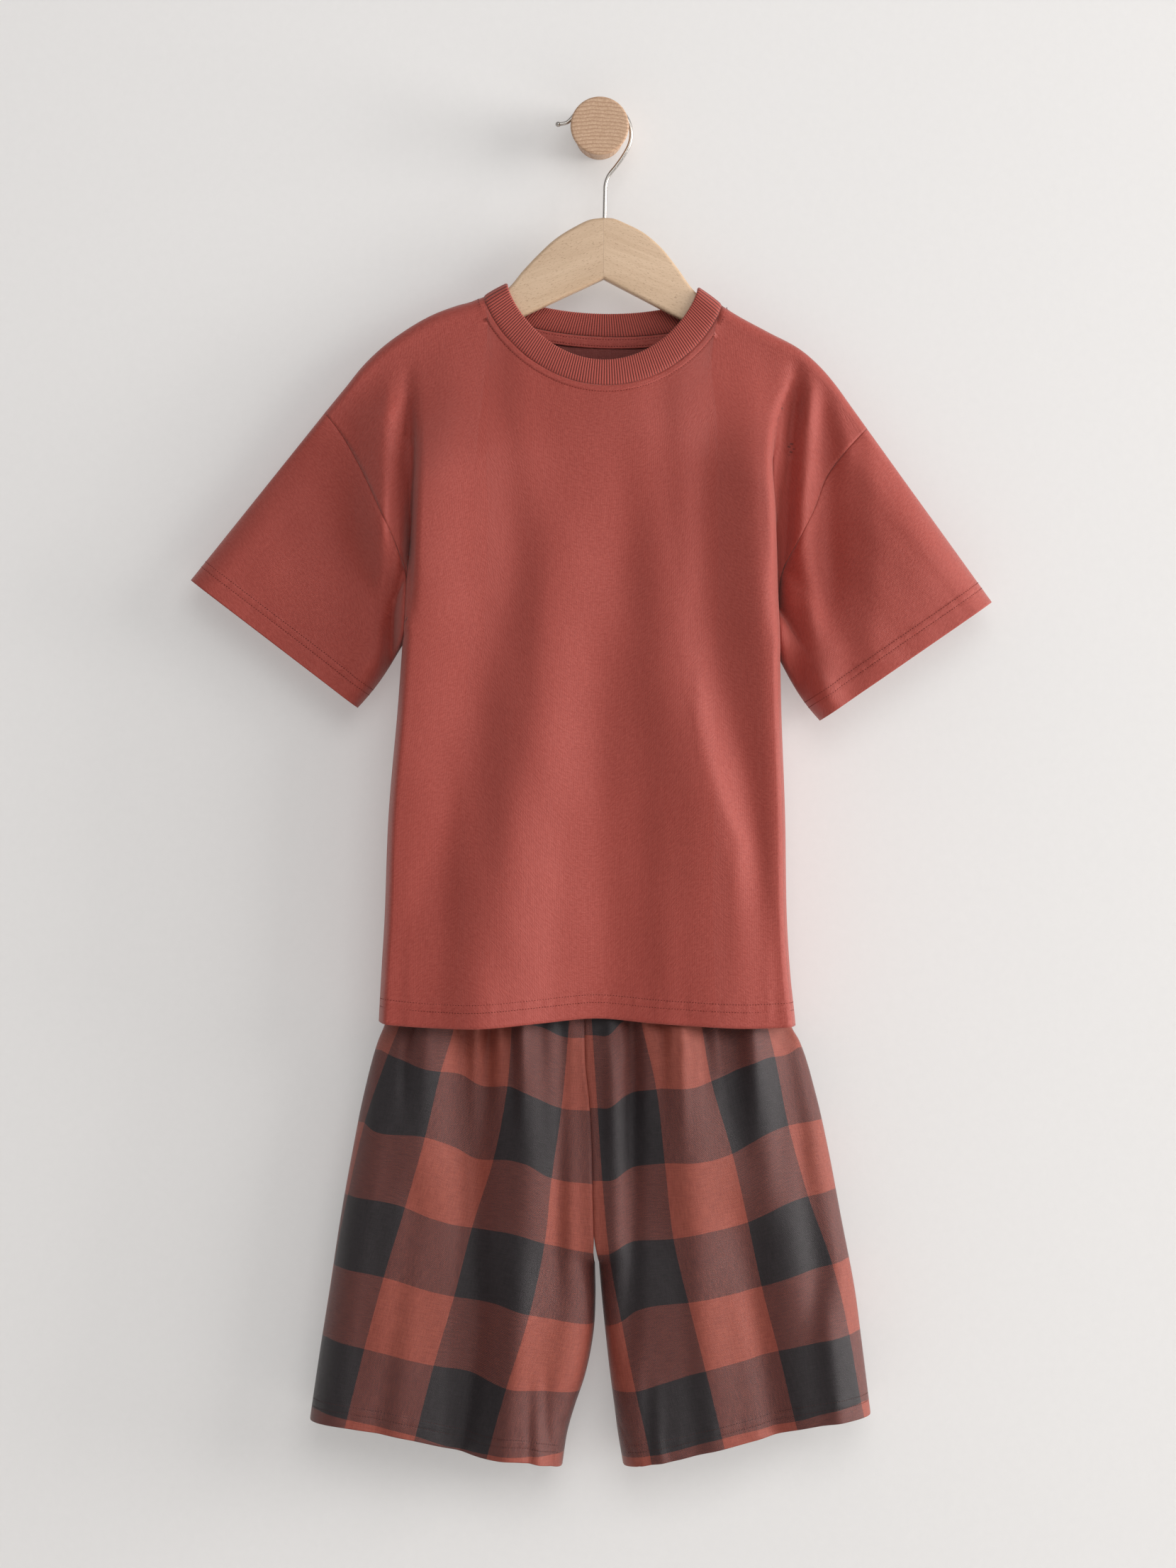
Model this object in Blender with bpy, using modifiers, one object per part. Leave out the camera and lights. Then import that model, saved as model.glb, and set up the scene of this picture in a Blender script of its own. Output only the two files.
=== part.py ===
"""Child's pyjama set on a wooden hanger that hangs from a turned wall knob.

A plain short-sleeved T-shirt hangs on the hanger, and a pair of check shorts hangs inside its hem.
The origin is the centre of the knob's back face, on the wall. +X is the viewer's right, +Z is up,
and the set hangs in front of the wall, towards -Y. Sizes below are in millimetres.
"""

import math

import bmesh
import bpy
import numpy as np

MM = 0.001

# ---------------------------------------------------------------- driving sizes
JERSEY = 1.2                # wall of the shirt's cloth
WOVEN = 1.2                 # wall of the shorts' cloth
RIB_WALL = 1.7              # plain part of the neckband's wall
SEAM_GAP = 0.3              # between neighbouring pieces
FOLD_GAP = 0.35             # from the middle plane to each panel's edge, where two meet on a fold
HANG_PLANE = -31.0          # depth of the hanger's and the shirt's middle plane
FOLD_RADIUS = 8.0           # cloth turned over the hanger, and at a sleeve's folded edges
PERPENDICULAR = 0.8         # cosine of the shoulders' mean slope

HANGER_THICK = 11.0
HANGER_BEVEL = 2.5
HANGER_DROP = 4.4           # hanger's top edge below the shoulders' outline
MITRE_X = 3.0

WIRE_RADIUS = 1.5
HOOK_RADIUS = 23.9          # centre line of the hook's bend
HOOK_CENTRE = (0.0, -3.8)
BALL_RADIUS = 2.1

KNOB_NECK_RADIUS = HOOK_CENTRE[1] + HOOK_RADIUS - WIRE_RADIUS - SEAM_GAP
KNOB_DISC_RADIUS = 22.0
KNOB_LENGTH = 46.0
KNOB_DISC_THICK = 9.0
KNOB_EDGE = 1.6

NECK_SEAM_DROP = {"front": 65.5, "back": 25.5}
NECK_SEAM_POWER = {"front": 0.72, "back": 0.5}
NECK_EDGE_DROP = {"front": 57.0, "back": 19.5}
NECK_EDGE_POWER = {"front": 0.72, "back": 0.5}
NECK_SEAM_ENDS = ((-87.4, -127.8), (91.9, -134.0))
NECK_EDGE_ENDS = ((-69.6, -117.8), (74.1, -120.7))
RIB_PITCH = 2.3             # along the neck seam
RIB_HEIGHT = 0.45
RIB_SHARP = 50.0            # degrees; the ribs' own edges stay crisp
NECK_SEAM_CLEAR = 1.1       # from the neck's curve to the band; the panels' chords take most of it
TAPE_WIDTH = 8.5
TAPE_WALL = 1.0

SLEEVE_EDGE_SHARE = 0.12    # share of its width over which each folded edge turns
SLEEVE_ROWS = 7
UNDER_SLEEVE_SAG = 4.0
UNDERARM_CLEAR = 2.4        # extra gap between a sleeve and the body where both turn in

WAIST_TOP = -642.0
WAIST_BOTTOM = -668.0
WAIST_WALL = 2.2
WAIST_GATHERS = 30
WAIST_GATHER_DEPTH = 1.0
WAIST_SQUARED = 0.62        # below 1, the flattened ring keeps its full depth to near its ends
WAIST_INSET = 3.0           # at each end, inside the shorts' edge
WAIST_LEVEL = 45.0          # from each end to where its depth is measured
CROTCH = (-2.0, -858.0)
SHORTS_PLANE = -35.0
SHORTS_CLEAR = 1.8          # least room between the shirt's hem and the shorts inside it
SHIRT_REACH = -682.0        # the shorts stay behind the shirt down to here
SHORTS_LEAVE = 36.0         # length over which they come out from behind it

EVEN_SHARE = 0.35           # share of a panel's length over which its columns become even
BEND_FADE = 1.5             # how fast the shapes of its top and bottom edges fade inside it
CLOTH_SHARP = 80.0          # degrees; softer edges are drawn smooth
FOLD_FADE = 55.0            # length over which a fold dies away past its ends


def table(columns, rows):
    """A dictionary that holds each named column as an array."""
    return dict(zip(columns.split(), np.array(rows, float).T))


# Outline of both shoulders, from one shoulder point over the hanger to the other.
SHOULDERS = table("x z", [
    (-207.7, -215.3), (-191.0, -194.9), (-180.3, -181.5), (-166.9, -168.1), (-149.2, -154.6),
    (-126.1, -141.2), (-87.4, -127.8), (-69.6, -117.8), (-46.0, -95.1), (-17.1, -74.3),
    (3.2, -68.5), (18.7, -72.7), (46.5, -90.3), (74.1, -120.7), (91.9, -134.0),
    (103.1, -141.2), (127.8, -154.6), (152.5, -168.1), (167.5, -181.5), (178.8, -194.9),
    (188.4, -208.3), (201.9, -227.1),
])

# A smooth line over both shoulders and the neck, from which the body's fullness is measured down.
YOKE = table("x z", [
    (-215.0, -226.0), (-180.0, -180.0), (-149.0, -154.6), (-100.0, -131.0), (-50.0, -117.0),
    (2.0, -112.0), (55.0, -118.0), (105.0, -140.0), (152.5, -168.1), (180.0, -197.0),
    (212.0, -240.0),
])

ARMHOLE = {
    "left": table("x z", [
        (-207.7, -215.3), (-195.4, -231.1), (-184.6, -249.0), (-174.0, -269.6), (-163.5, -292.5),
        (-153.4, -314.8), (-145.4, -337.6), (-145.0, -362.0), (-146.6, -385.0),
    ]),
    "right": table("x z", [
        (201.9, -227.1), (183.7, -247.1), (171.2, -264.5), (162.3, -287.3), (149.1, -313.8),
        (138.3, -335.1), (135.0, -362.0), (135.6, -400.0),
    ]),
}

# The body's outer edge. Above the underarm it is the crest that stands in front of the armhole.
BODY_EDGE = table("z left right", [
    (-700.0, -167.2, 148.4), (-676.0, -166.3, 147.1), (-640.0, -164.4, 143.4),
    (-599.0, -162.0, 140.8), (-519.4, -158.9, 139.4), (-439.7, -152.0, 136.5),
    (-370.6, -147.0, 135.1), (-333.5, -144.0, 134.2), (-291.0, -140.5, 132.2),
    (-248.5, -138.5, 130.1), (-215.0, -139.0, 135.0), (-185.0, -141.0, 147.0),
    (-150.0, -143.0, 158.0),
])

SHIRT_HEM = {
    "front": table("x z", [
        (-166.3, -673.9), (-129.9, -677.5), (-92.9, -678.5), (-45.6, -674.8), (-3.2, -671.4),
        (39.1, -674.8), (81.1, -677.4), (107.5, -678.5), (147.1, -677.1),
    ]),
    "back": table("x z", [(-166.3, -673.9), (-60.0, -672.0), (60.0, -673.0), (147.1, -677.1)]),
}

# How far the body stands out from its middle plane, beyond the turned edge.
BODY_BULGE = {
    "front": table("z depth", [
        (-700.0, 31.0), (-676.0, 31.0), (-560.0, 33.0), (-430.0, 34.0), (-330.0, 33.0),
        (-250.0, 31.0), (-190.0, 22.0), (-120.0, 10.0), (-60.0, 6.0),
    ]),
    "back": table("z depth", [
        (-700.0, 9.0), (-560.0, 11.0), (-400.0, 12.0), (-250.0, 9.0), (-160.0, 4.0),
        (-60.0, 2.0),
    ]),
}
EDGE_ROUND = {"front": 17.0, "back": 15.0}
BULGE_RUN = 95.0            # from the shoulder down to the full bulge

# The front's broad ridges and valleys from left to right: how far each line stands out from the
# bulge at a height. Between two lines the cloth runs smoothly from one to the other.
LINE_COLUMNS = "z x height"
FRONT_LINES = [
    table(LINE_COLUMNS, [
        (-700, -149, 3), (-652, -148, 2), (-599, -147, 0), (-546, -145, 0), (-493, -144, 0),
        (-440, -141, 0), (-387, -137, 0), (-334, -132, 0), (-291, -128, 0), (-249, -126, 0),
        (-206, -122, 0), (-150, -118, 0),
    ]),
    table(LINE_COLUMNS, [
        (-700, -143, 4), (-652, -142, 3), (-599, -137, 0), (-546, -119, -2.3), (-493, -104, -3.8),
        (-440, -91, -7.6), (-387, -79, -8.8), (-334, -66, -9.7), (-291, -63, -9.5),
        (-249, -62, -7), (-206, -70, -3.5), (-150, -70, 0),
    ]),
    table(LINE_COLUMNS, [
        (-700, -88, 12), (-652, -85, 10.8), (-599, -77, 9.3), (-546, -67, 6.1), (-493, -56, 4.4),
        (-440, -47, 0), (-387, -43, -2.7), (-334, -36, -6.2), (-291, -32, -7.8),
        (-249, -38, -7.4), (-206, -45, -4.5), (-150, -45, 0),
    ]),
    table(LINE_COLUMNS, [
        (-700, 0, -6), (-652, 2, -6.5), (-599, 7, -7.1), (-546, 10, -8.7), (-493, 6, -7.6),
        (-440, 7, -9.2), (-387, 12, -10), (-334, 15, -12.1), (-291, 20, -11.5), (-249, 12, -9),
        (-206, 0, -4.5), (-150, 0, 0),
    ]),
    table(LINE_COLUMNS, [
        (-700, 92, 5), (-652, 95, 4.6), (-599, 100, 3.1), (-546, 92, 3.3), (-493, 77, 4),
        (-440, 66, 0.4), (-387, 58, -3.6), (-334, 52, -7.6), (-291, 46, -10), (-249, 44, -9),
        (-206, 40, -4.5), (-150, 40, 0),
    ]),
    table(LINE_COLUMNS, [
        (-700, 124, 3), (-652, 124, 2), (-599, 122, 0), (-546, 119, -5), (-493, 109, -6.2),
        (-440, 97, -8), (-387, 87, -9.1), (-334, 79, -10.3), (-291, 74, -11), (-249, 76, -9.5),
        (-206, 80, -3.5), (-150, 80, 0),
    ]),
    table(LINE_COLUMNS, [
        (-700, 134, 3), (-652, 133, 1), (-599, 131, 0), (-546, 130, -3), (-493, 129, -2),
        (-440, 127, 0), (-387, 125, 1.5), (-334, 122, 1), (-291, 119, 1), (-249, 119, 0.5),
        (-206, 118, 0), (-150, 118, 0),
    ]),
]

# Soft folds: a ridge (+) or trough (-) from its top (x0, z0) to its bottom (x1, z1).
FOLD_COLUMNS = "x0 z0 x1 z1 width start end bow"
SHIRT_FOLDS = {
    "front": table(FOLD_COLUMNS, [
        (-159, -196, -156, -300, 8, 1.6, 1.6, 0),
        (151, -190, 136, -345, 7, -11.0, -8.0, 0),
        (158, -200, 160, -425, 8, 7.0, 5.0, -10),
        (173, -222, 175, -430, 11, -5.0, -8.0, 0),
        (181, -212, 186, -232, 7, 3.0, 2.0, 0),
    ]),
    "back": table(FOLD_COLUMNS, [
        (-96, -240, -128, -660, 16, 3.0, 4.0, 4),
        (-52, -300, -84, -670, 20, -5.0, -6.5, 6),
        (-14, -260, -26, -680, 20, 2.5, 4.0, 0),
        (36, -320, 30, -680, 22, -4.5, -6.5, -4),
        (82, -240, 98, -670, 17, 3.5, 4.0, -5),
        (-150, -190, -150, -320, 9, -3.0, -3.0, 0),
        (150, -195, 146, -330, 9, -3.0, -3.0, 0),
    ]),
}

# The front yoke on the viewer's left rises towards the body's crest, and so does its sleeve.
LEFT_RISE = table("z height", [
    (-420, 28), (-345, 28), (-325, 27), (-302, 24), (-270, 20), (-249, 16), (-217, 10),
    (-196, 6), (-170, 2), (-140, 0),
])
RISE_RUN = 80.0             # from the crest out to where the rise begins
RISE_ROUND = 24.0           # from the underarm over which it rolls up
SLEEVE_HALF_DEPTH = {       # at the cuff
    "left": {"front": 11.0, "back": 11.0}, "right": {"front": 16.0, "back": 11.0},
}
SLEEVE_SETTLES = 0.5        # share of a sleeve's length by which it has its cuff's depth
CUFF = {
    "left": {"top": (-309.1, -342.0), "bottom": (-183.5, -438.0)},
    "right": {"top": (296.3, -358.6), "bottom": (167.0, -447.7)},
}

# The shorts' edges: outseams, and the inner edge of each leg below the crotch.
SHORTS_EDGE = table("z left right", [
    (-1010.0, -223.0, 209.5), (-975.0, -218.4, 204.8), (-917.4, -209.9, 197.6),
    (-877.3, -203.5, 192.3), (-823.9, -195.4, 182.1), (-770.5, -185.8, 172.0),
    (-730.4, -177.8, 162.9), (-690.4, -167.1, 150.6), (-680.0, -162.8, 144.8),
    (-674.4, -160.7, 143.4), (-668.0, -157.6, 141.4),
])
LEG_INNER = table("z left right", [
    (-1012.0, -29.0, 18.6), (-984.1, -24.6, 14.0), (-965.4, -19.2, 11.6), (-941.4, -11.2, 8.4),
    (-909.3, -5.0, 4.8), (-882.6, -3.6, 2.1), (-858.0, -4.0, 0.0),
])
CENTRE_SEAM = table("z x", [
    (-858.0, -2.0), (-848.7, -3.4), (-810.8, -5.0), (-768.4, -5.9), (-736.8, -7.5),
    (-705.1, -10.7), (-668.0, -11.4),
])
LEG_HEM = {
    "left": table("x z", [
        (-218.4, -975.0), (-194.4, -977.2), (-140.6, -986.8), (-87.8, -1000.0), (-56.1, -1002.6),
        (-28.9, -1009.7),
    ]),
    "right": table("x z", [
        (18.4, -1009.0), (54.9, -1002.1), (81.3, -995.5), (134.1, -983.1), (166.1, -975.9),
        (204.3, -970.8),
    ]),
}
SHORTS_BULGE = {
    "front": table("z depth", [
        (-1015.0, 31.0), (-900.0, 30.0), (-780.0, 28.0), (-700.0, 23.0), (-665.0, 20.0),
    ]),
    "back": table("z depth", [
        (-1015.0, 22.0), (-900.0, 23.0), (-780.0, 21.0), (-700.0, 15.0), (-665.0, 12.5),
    ]),
}
SHORTS_ROUND = {"outer": 26.0, "inner": 24.0}
SHORTS_FOLDS = {
    "front": table(FOLD_COLUMNS, [
        (-126, -690, -158, -960, 18, 4.0, 3.0, 0),
        (-96, -700, -112, -1010, 15, -4.5, -4.0, 4),
        (-52, -690, -66, -1010, 18, 4.0, 4.5, 0),
        (-24, -700, -30, -860, 8, -3.5, -2.0, 0),
        (12, -700, 14, -850, 9, 3.5, 4.0, 0),
        (27, -700, 22, -900, 8, -5.0, -4.0, 0),
        (62, -690, 84, -1000, 20, 4.0, 4.0, 0),
        (118, -690, 128, -790, 11, 5.0, 2.5, 0),
        (140, -690, 166, -860, 10, -5.0, -3.0, 0),
        (110, -840, 136, -1000, 16, -3.0, -4.0, 0),
    ]),
    "back": table(FOLD_COLUMNS, [
        (-120, -690, -150, -960, 18, 3.0, 2.5, 0),
        (-70, -700, -92, -1010, 18, -4.0, -4.0, 0),
        (40, -700, 48, -1000, 18, -4.0, -3.5, 0),
        (96, -690, 120, -980, 18, 3.0, 3.0, 0),
    ]),
}
GATHERS = {"wave": 19.0, "depth": 2.6, "reach": 62.0}

# ---------------------------------------------------------------- curves and profiles


def curve(xs, ys, at):
    """A smooth curve through the table's points, whose slopes come from their neighbours."""
    order = np.argsort(xs)
    xs, ys = xs[order], ys[order]
    steps = np.diff(xs)
    rises = np.diff(ys) / steps
    slopes = np.concatenate([rises[:1], (rises[1:] + rises[:-1]) / 2, rises[-1:]])
    at = np.clip(at, xs[0], xs[-1])
    i = np.clip(np.searchsorted(xs, at) - 1, 0, len(steps) - 1)
    t = (at - xs[i]) / steps[i]
    return (ys[i] * (1 + 2 * t) * (1 - t) ** 2 + ys[i + 1] * t * t * (3 - 2 * t)
            + steps[i] * (slopes[i] * t * (1 - t) ** 2 - slopes[i + 1] * t * t * (1 - t)))


def along(xs, zs, fractions):
    """Points (x, z) at fractions of the length of a smooth line through the table's points."""
    knots = np.concatenate([[0], np.cumsum(np.hypot(np.diff(xs), np.diff(zs)))])
    fine = np.linspace(0, knots[-1], 400)
    x, z = curve(knots, xs, fine), curve(knots, zs, fine)
    length = np.concatenate([[0], np.cumsum(np.hypot(np.diff(x), np.diff(z)))])
    at = np.asarray(fractions) * length[-1]
    return np.stack([np.interp(at, length, x), np.interp(at, length, z)], axis=-1)


def roll(t):
    """A quarter circle: steep at 0, level at 1 and beyond."""
    t = np.clip(t, 0, 1)
    return np.sqrt(1 - (1 - t) ** 2)


def ease(t):
    t = np.clip(t, 0, 1)
    return t * t * (3 - 2 * t)


def folds(rows, x, z):
    """The sum of the table's ridges and troughs at (x, z)."""
    total = np.zeros(np.broadcast(x, z).shape)
    for i in range(len(rows["x0"])):
        row = {name: column[i] for name, column in rows.items()}
        t = (z - row["z0"]) / (row["z1"] - row["z0"])
        inside = np.clip(t, 0, 1)
        middle = row["x0"] + (row["x1"] - row["x0"]) * inside + row["bow"] * 4 * inside * (1 - inside)
        height = row["start"] + (row["end"] - row["start"]) * inside
        past = np.maximum(-t, t - 1) * abs(row["z1"] - row["z0"])
        height = height * (1 - ease(past / FOLD_FADE))
        total = total + height * np.exp(-((x - middle) / row["width"]) ** 2)
    return total


# ---------------------------------------------------------------- the shirt's form

TOWARDS = {"front": -1.0, "back": 1.0}


def line_folds(lines, x, z):
    """How far the cloth stands out between ridge and valley lines, which run from left to right."""
    places = [curve(line["z"], line["x"], z) for line in lines]
    heights = [curve(line["z"], line["height"], z) for line in lines]
    total = heights[0]
    for i in range(len(lines) - 1):
        share = ease((x - places[i]) / (places[i + 1] - places[i]))
        total = total + (heights[i + 1] - heights[i]) * share
    return total


def shirt_depth(side, x, z):
    """Depth (y) of the shirt's front or back at the point (x, z) of its outline's plane."""
    below = PERPENDICULAR * (curve(SHOULDERS["x"], SHOULDERS["z"], x) - z)
    out = FOLD_RADIUS * roll(below / FOLD_RADIUS)
    crest = 1.0
    rise = 0.0
    for hand, sign in (("left", 1.0), ("right", -1.0)):
        underarm = ARMHOLE[hand]["z"][-1]
        inward = sign * (x - curve(BODY_EDGE["z"], BODY_EDGE[hand], z))
        inward_low = sign * (x - curve(BODY_EDGE["z"], BODY_EDGE[hand], np.minimum(z, underarm)))
        from_seam = np.hypot(np.maximum(inward_low, 0), np.maximum(z - underarm, 0))
        out = out * roll(from_seam / FOLD_RADIUS)
        crest = crest * roll(inward / EDGE_ROUND[side])
        if side == "front" and hand == "left":
            rise = curve(LEFT_RISE["z"], LEFT_RISE["height"], z) * roll(from_seam / RISE_ROUND)
            rise = rise * (1 - ease(-inward / RISE_RUN))
    bulge = BODY_BULGE[side]
    full = ease((PERPENDICULAR * (curve(YOKE["x"], YOKE["z"], x) - z) - FOLD_RADIUS) / BULGE_RUN)
    swell = curve(bulge["z"], bulge["depth"], z) * full
    rise = np.minimum(rise, swell)
    out = out + rise + (swell - rise) * crest
    near_edge = ease(below / 40.0) * np.minimum(1.0, out / FOLD_RADIUS) ** 2
    raised = folds(SHIRT_FOLDS[side], x, z)
    if side == "front":
        raised = raised + line_folds(FRONT_LINES, x, z) * crest
    out = out + raised * near_edge
    return HANG_PLANE + TOWARDS[side] * (FOLD_GAP + np.maximum(out, 0.0))


def on_shirt(side, xz):
    """Points (x, y, z) of the shirt's front or back over points (x, z)."""
    return np.stack([xz[..., 0], shirt_depth(side, xz[..., 0], xz[..., 1]), xz[..., 1]], axis=-1)


def neckline(side, t, ends, drops, powers):
    """The neck's curve for t from -1, at the left shoulder, to 1, at the right one."""
    (x0, z0), (x1, z1) = ends
    x = x0 + (x1 - x0) * (t + 1) / 2
    z = z0 + (z1 - z0) * (t + 1) / 2 - drops[side] * (1 - t * t) ** powers[side]
    return np.stack([x, z], axis=-1)


def neck_seam(side, t):
    return neckline(side, t, NECK_SEAM_ENDS, NECK_SEAM_DROP, NECK_SEAM_POWER)


def neck_edge(side, t):
    return neckline(side, t, NECK_EDGE_ENDS, NECK_EDGE_DROP, NECK_EDGE_POWER)


# ---------------------------------------------------------------- the shorts' form


def shorts_edges(z, hand):
    outer = curve(SHORTS_EDGE["z"], SHORTS_EDGE[hand], z)
    inner = curve(LEG_INNER["z"], LEG_INNER[hand], np.minimum(z, CROTCH[1]))
    return outer, inner


def shorts_depth(side, x, z, hand):
    sign = 1.0 if hand == "left" else -1.0
    outer, inner = shorts_edges(z, hand)
    from_outer = sign * (x - outer)
    from_inner = np.hypot(np.maximum(sign * (inner - x), 0), np.maximum(z - CROTCH[1], 0))
    edge = roll(from_outer / SHORTS_ROUND["outer"]) * roll(from_inner / SHORTS_ROUND["inner"])
    bulge = SHORTS_BULGE[side]
    wrinkles = folds(SHORTS_FOLDS[side], x, z)
    below_waist = (WAIST_BOTTOM - z) / GATHERS["reach"]
    gather = GATHERS["depth"] * np.exp(-below_waist ** 2) * np.cos(2 * np.pi * x / GATHERS["wave"])
    out = (curve(bulge["z"], bulge["depth"], z) + wrinkles + gather) * edge
    leaves = ease((SHIRT_REACH - z) / SHORTS_LEAVE)
    out = np.minimum(out, room_in_shirt(side, x, z)) * (1 - leaves) + out * leaves
    return SHORTS_PLANE + TOWARDS[side] * (FOLD_GAP + np.maximum(out, 0.0))


def room_in_shirt(side, x, z):
    """How far the shorts may stand out from their middle plane inside the shirt's hem."""
    held_z = np.maximum(z, SHIRT_REACH)
    left, right = (curve(BODY_EDGE["z"], BODY_EDGE[hand], held_z) for hand in ("left", "right"))
    held_x = np.clip(x, left + 2.0, right - 2.0)
    shirt = shirt_depth(side, held_x, held_z)
    return TOWARDS[side] * (shirt - SHORTS_PLANE) - (JERSEY + WOVEN) / 2 - SHORTS_CLEAR


# ---------------------------------------------------------------- mesh tools


def material(name, colour, roughness, metallic=0.0):
    made = bpy.data.materials.new(name)
    made.use_nodes = True
    shader = made.node_tree.nodes["Principled BSDF"]
    shader.inputs["Base Color"].default_value = (*colour, 1.0)
    shader.inputs["Roughness"].default_value = roughness
    shader.inputs["Metallic"].default_value = metallic
    return made


def add_object(name, mesh, finish, sharp_degrees=35.0):
    made = bpy.data.objects.new(name, mesh)
    parts.objects.link(made)
    mesh.materials.append(finish)
    if isinstance(mesh, bpy.types.Mesh):
        mesh.shade_smooth()
        mesh.set_sharp_from_angle(angle=math.radians(sharp_degrees))
    return made


def grid_mesh(name, points, ring=False, tube=False):
    """A mesh of quads over rows of points.

    ring closes each row on itself, and tube joins the last row to the first.
    """
    rows, columns = points.shape[:2]
    index = np.arange(rows * columns).reshape(rows, columns)
    if ring:
        index = np.concatenate([index, index[:, :1]], axis=1)
    if tube:
        index = np.concatenate([index, index[:1]], axis=0)
    faces = np.stack([index[:-1, :-1], index[1:, :-1], index[1:, 1:], index[:-1, 1:]], axis=-1)
    mesh = bpy.data.meshes.new(name)
    mesh.from_pydata((points.reshape(-1, 3) * MM).tolist(), [], faces.reshape(-1, 4).tolist())
    mesh.validate()
    return mesh


def cloth(name, points, wall, finish, ring=False):
    """A panel of cloth: rows of points with an even wall built on both sides of them."""
    made = add_object(name, grid_mesh(name, points, ring), finish, CLOTH_SHARP)
    shell = made.modifiers.new("wall", "SOLIDIFY")
    shell.thickness = wall * MM
    shell.offset = 0.0
    return made


def between(start, end, share):
    return start + (end - start) * share


def patch(top, bottom, left, right, across, down, low_across=None):
    """A panel's points between its four edges, each given by one point a column or row.

    across and low_across are the columns' shares of the top and of the bottom edge.
    """
    low_across = across if low_across is None else low_across
    v = down[:, None, None]
    u = across + (low_across - across) * ease(down / EVEN_SHARE)[:, None]
    u = u[..., None]
    flat = between(between(top[0], top[-1], u), between(bottom[0], bottom[-1], u), v)
    top_bend = top - between(top[0], top[-1], across[:, None])
    bottom_bend = bottom - between(bottom[0], bottom[-1], low_across[:, None])
    left_bend = left - between(top[0], bottom[0], down[:, None])
    right_bend = right - between(top[-1], bottom[-1], down[:, None])
    return (flat + top_bend[None] * (1 - v) ** BEND_FADE + bottom_bend[None] * v ** BEND_FADE
            + left_bend[:, None] * (1 - u) + right_bend[:, None] * u)


def graded(*runs):
    """Steps from 0 to 1 made of runs (end, count, power), finer at each run's start or end."""
    steps = [0.0]
    for end, count, power in runs:
        start = steps[-1]
        part = np.arange(1, count + 1) / count
        part = part ** power if power > 0 else 1 - (1 - part) ** -power
        steps.extend(start + (end - start) * part)
    return np.array(steps)


# ---------------------------------------------------------------- the shirt

VALLEY_SHARE = 0.045        # share of a panel's columns outside its body edge
CREST_SHARE = 0.10          # share out to the crest behind that edge
SHOULDER_SHARE = 0.30       # share along each shoulder
ARM_SHARE = 0.40            # share of its rows along the armhole
HALF_ACROSS = graded((VALLEY_SHARE, 2, 1.3), (CREST_SHARE, 3, 1.0), (SHOULDER_SHARE, 3, 1.0),
                     (0.315, 1, 1.0), (0.5, 6, 1.0))
HALF_LOW = graded((0.005, 2, 1.3), (0.054, 3, 1.0), (0.5, 10, 1.0))
ACROSS = np.concatenate([HALF_ACROSS, 1 - HALF_ACROSS[-2::-1]])
LOW_ACROSS = np.concatenate([HALF_LOW, 1 - HALF_LOW[-2::-1]])
DOWN = graded((0.004, 1, 1.0), (0.05, 3, 1.5), (0.34, 5, 1.0), (ARM_SHARE, 3, -1.7),
              (1.0, 8, 1.0))
ARM_STEPS = DOWN[DOWN <= ARM_SHARE + 1e-9] / ARM_SHARE


def shoulder_points(hand, fractions):
    """The shoulder seam from the shoulder point to the neck."""
    x = SHOULDERS["x"]
    if hand == "left":
        keep = x <= NECK_SEAM_ENDS[0][0] + 0.1
        return along(x[keep], SHOULDERS["z"][keep], fractions)
    keep = x >= NECK_SEAM_ENDS[1][0] - 0.1
    return along(x[keep][::-1], SHOULDERS["z"][keep][::-1], fractions)


def panel_top(side):
    left = shoulder_points("left", ACROSS[ACROSS < SHOULDER_SHARE - 1e-9] / SHOULDER_SHARE)
    right_share = ACROSS[ACROSS > 1 - SHOULDER_SHARE + 1e-9]
    right = shoulder_points("right", (1 - right_share) / SHOULDER_SHARE)
    middle = ACROSS[(ACROSS > SHOULDER_SHARE - 1e-9) & (ACROSS < 1 - SHOULDER_SHARE + 1e-9)]
    t = (middle - 0.5) / (0.5 - SHOULDER_SHARE)
    turned = np.sin(np.clip(t, -1, 1) * np.pi / 2)
    neck = neck_seam(side, turned)
    return np.concatenate([left, neck, right])


def panel_side(side, hand):
    arm = along(ARMHOLE[hand]["x"], ARMHOLE[hand]["z"], ARM_STEPS)
    hem_z = SHIRT_HEM[side]["z"][0 if hand == "left" else -1]
    z = np.linspace(arm[-1, 1], hem_z, int((DOWN > ARM_SHARE + 1e-9).sum()) + 1)[1:]
    edge = np.stack([curve(BODY_EDGE["z"], BODY_EDGE[hand], z), z], axis=-1)
    return np.concatenate([arm, edge])


def shirt_panel(side):
    hem = SHIRT_HEM[side]
    hem_x = hem["x"][0] + (hem["x"][-1] - hem["x"][0]) * LOW_ACROSS
    bottom = np.stack([hem_x, curve(hem["x"], hem["z"], hem_x)], axis=-1)
    left, right = panel_side(side, "left"), panel_side(side, "right")
    bottom[0], bottom[-1] = left[-1], right[-1]
    return follow_edges(side, patch(panel_top(side), bottom, left, right, ACROSS, DOWN,
                                    LOW_ACROSS))


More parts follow.
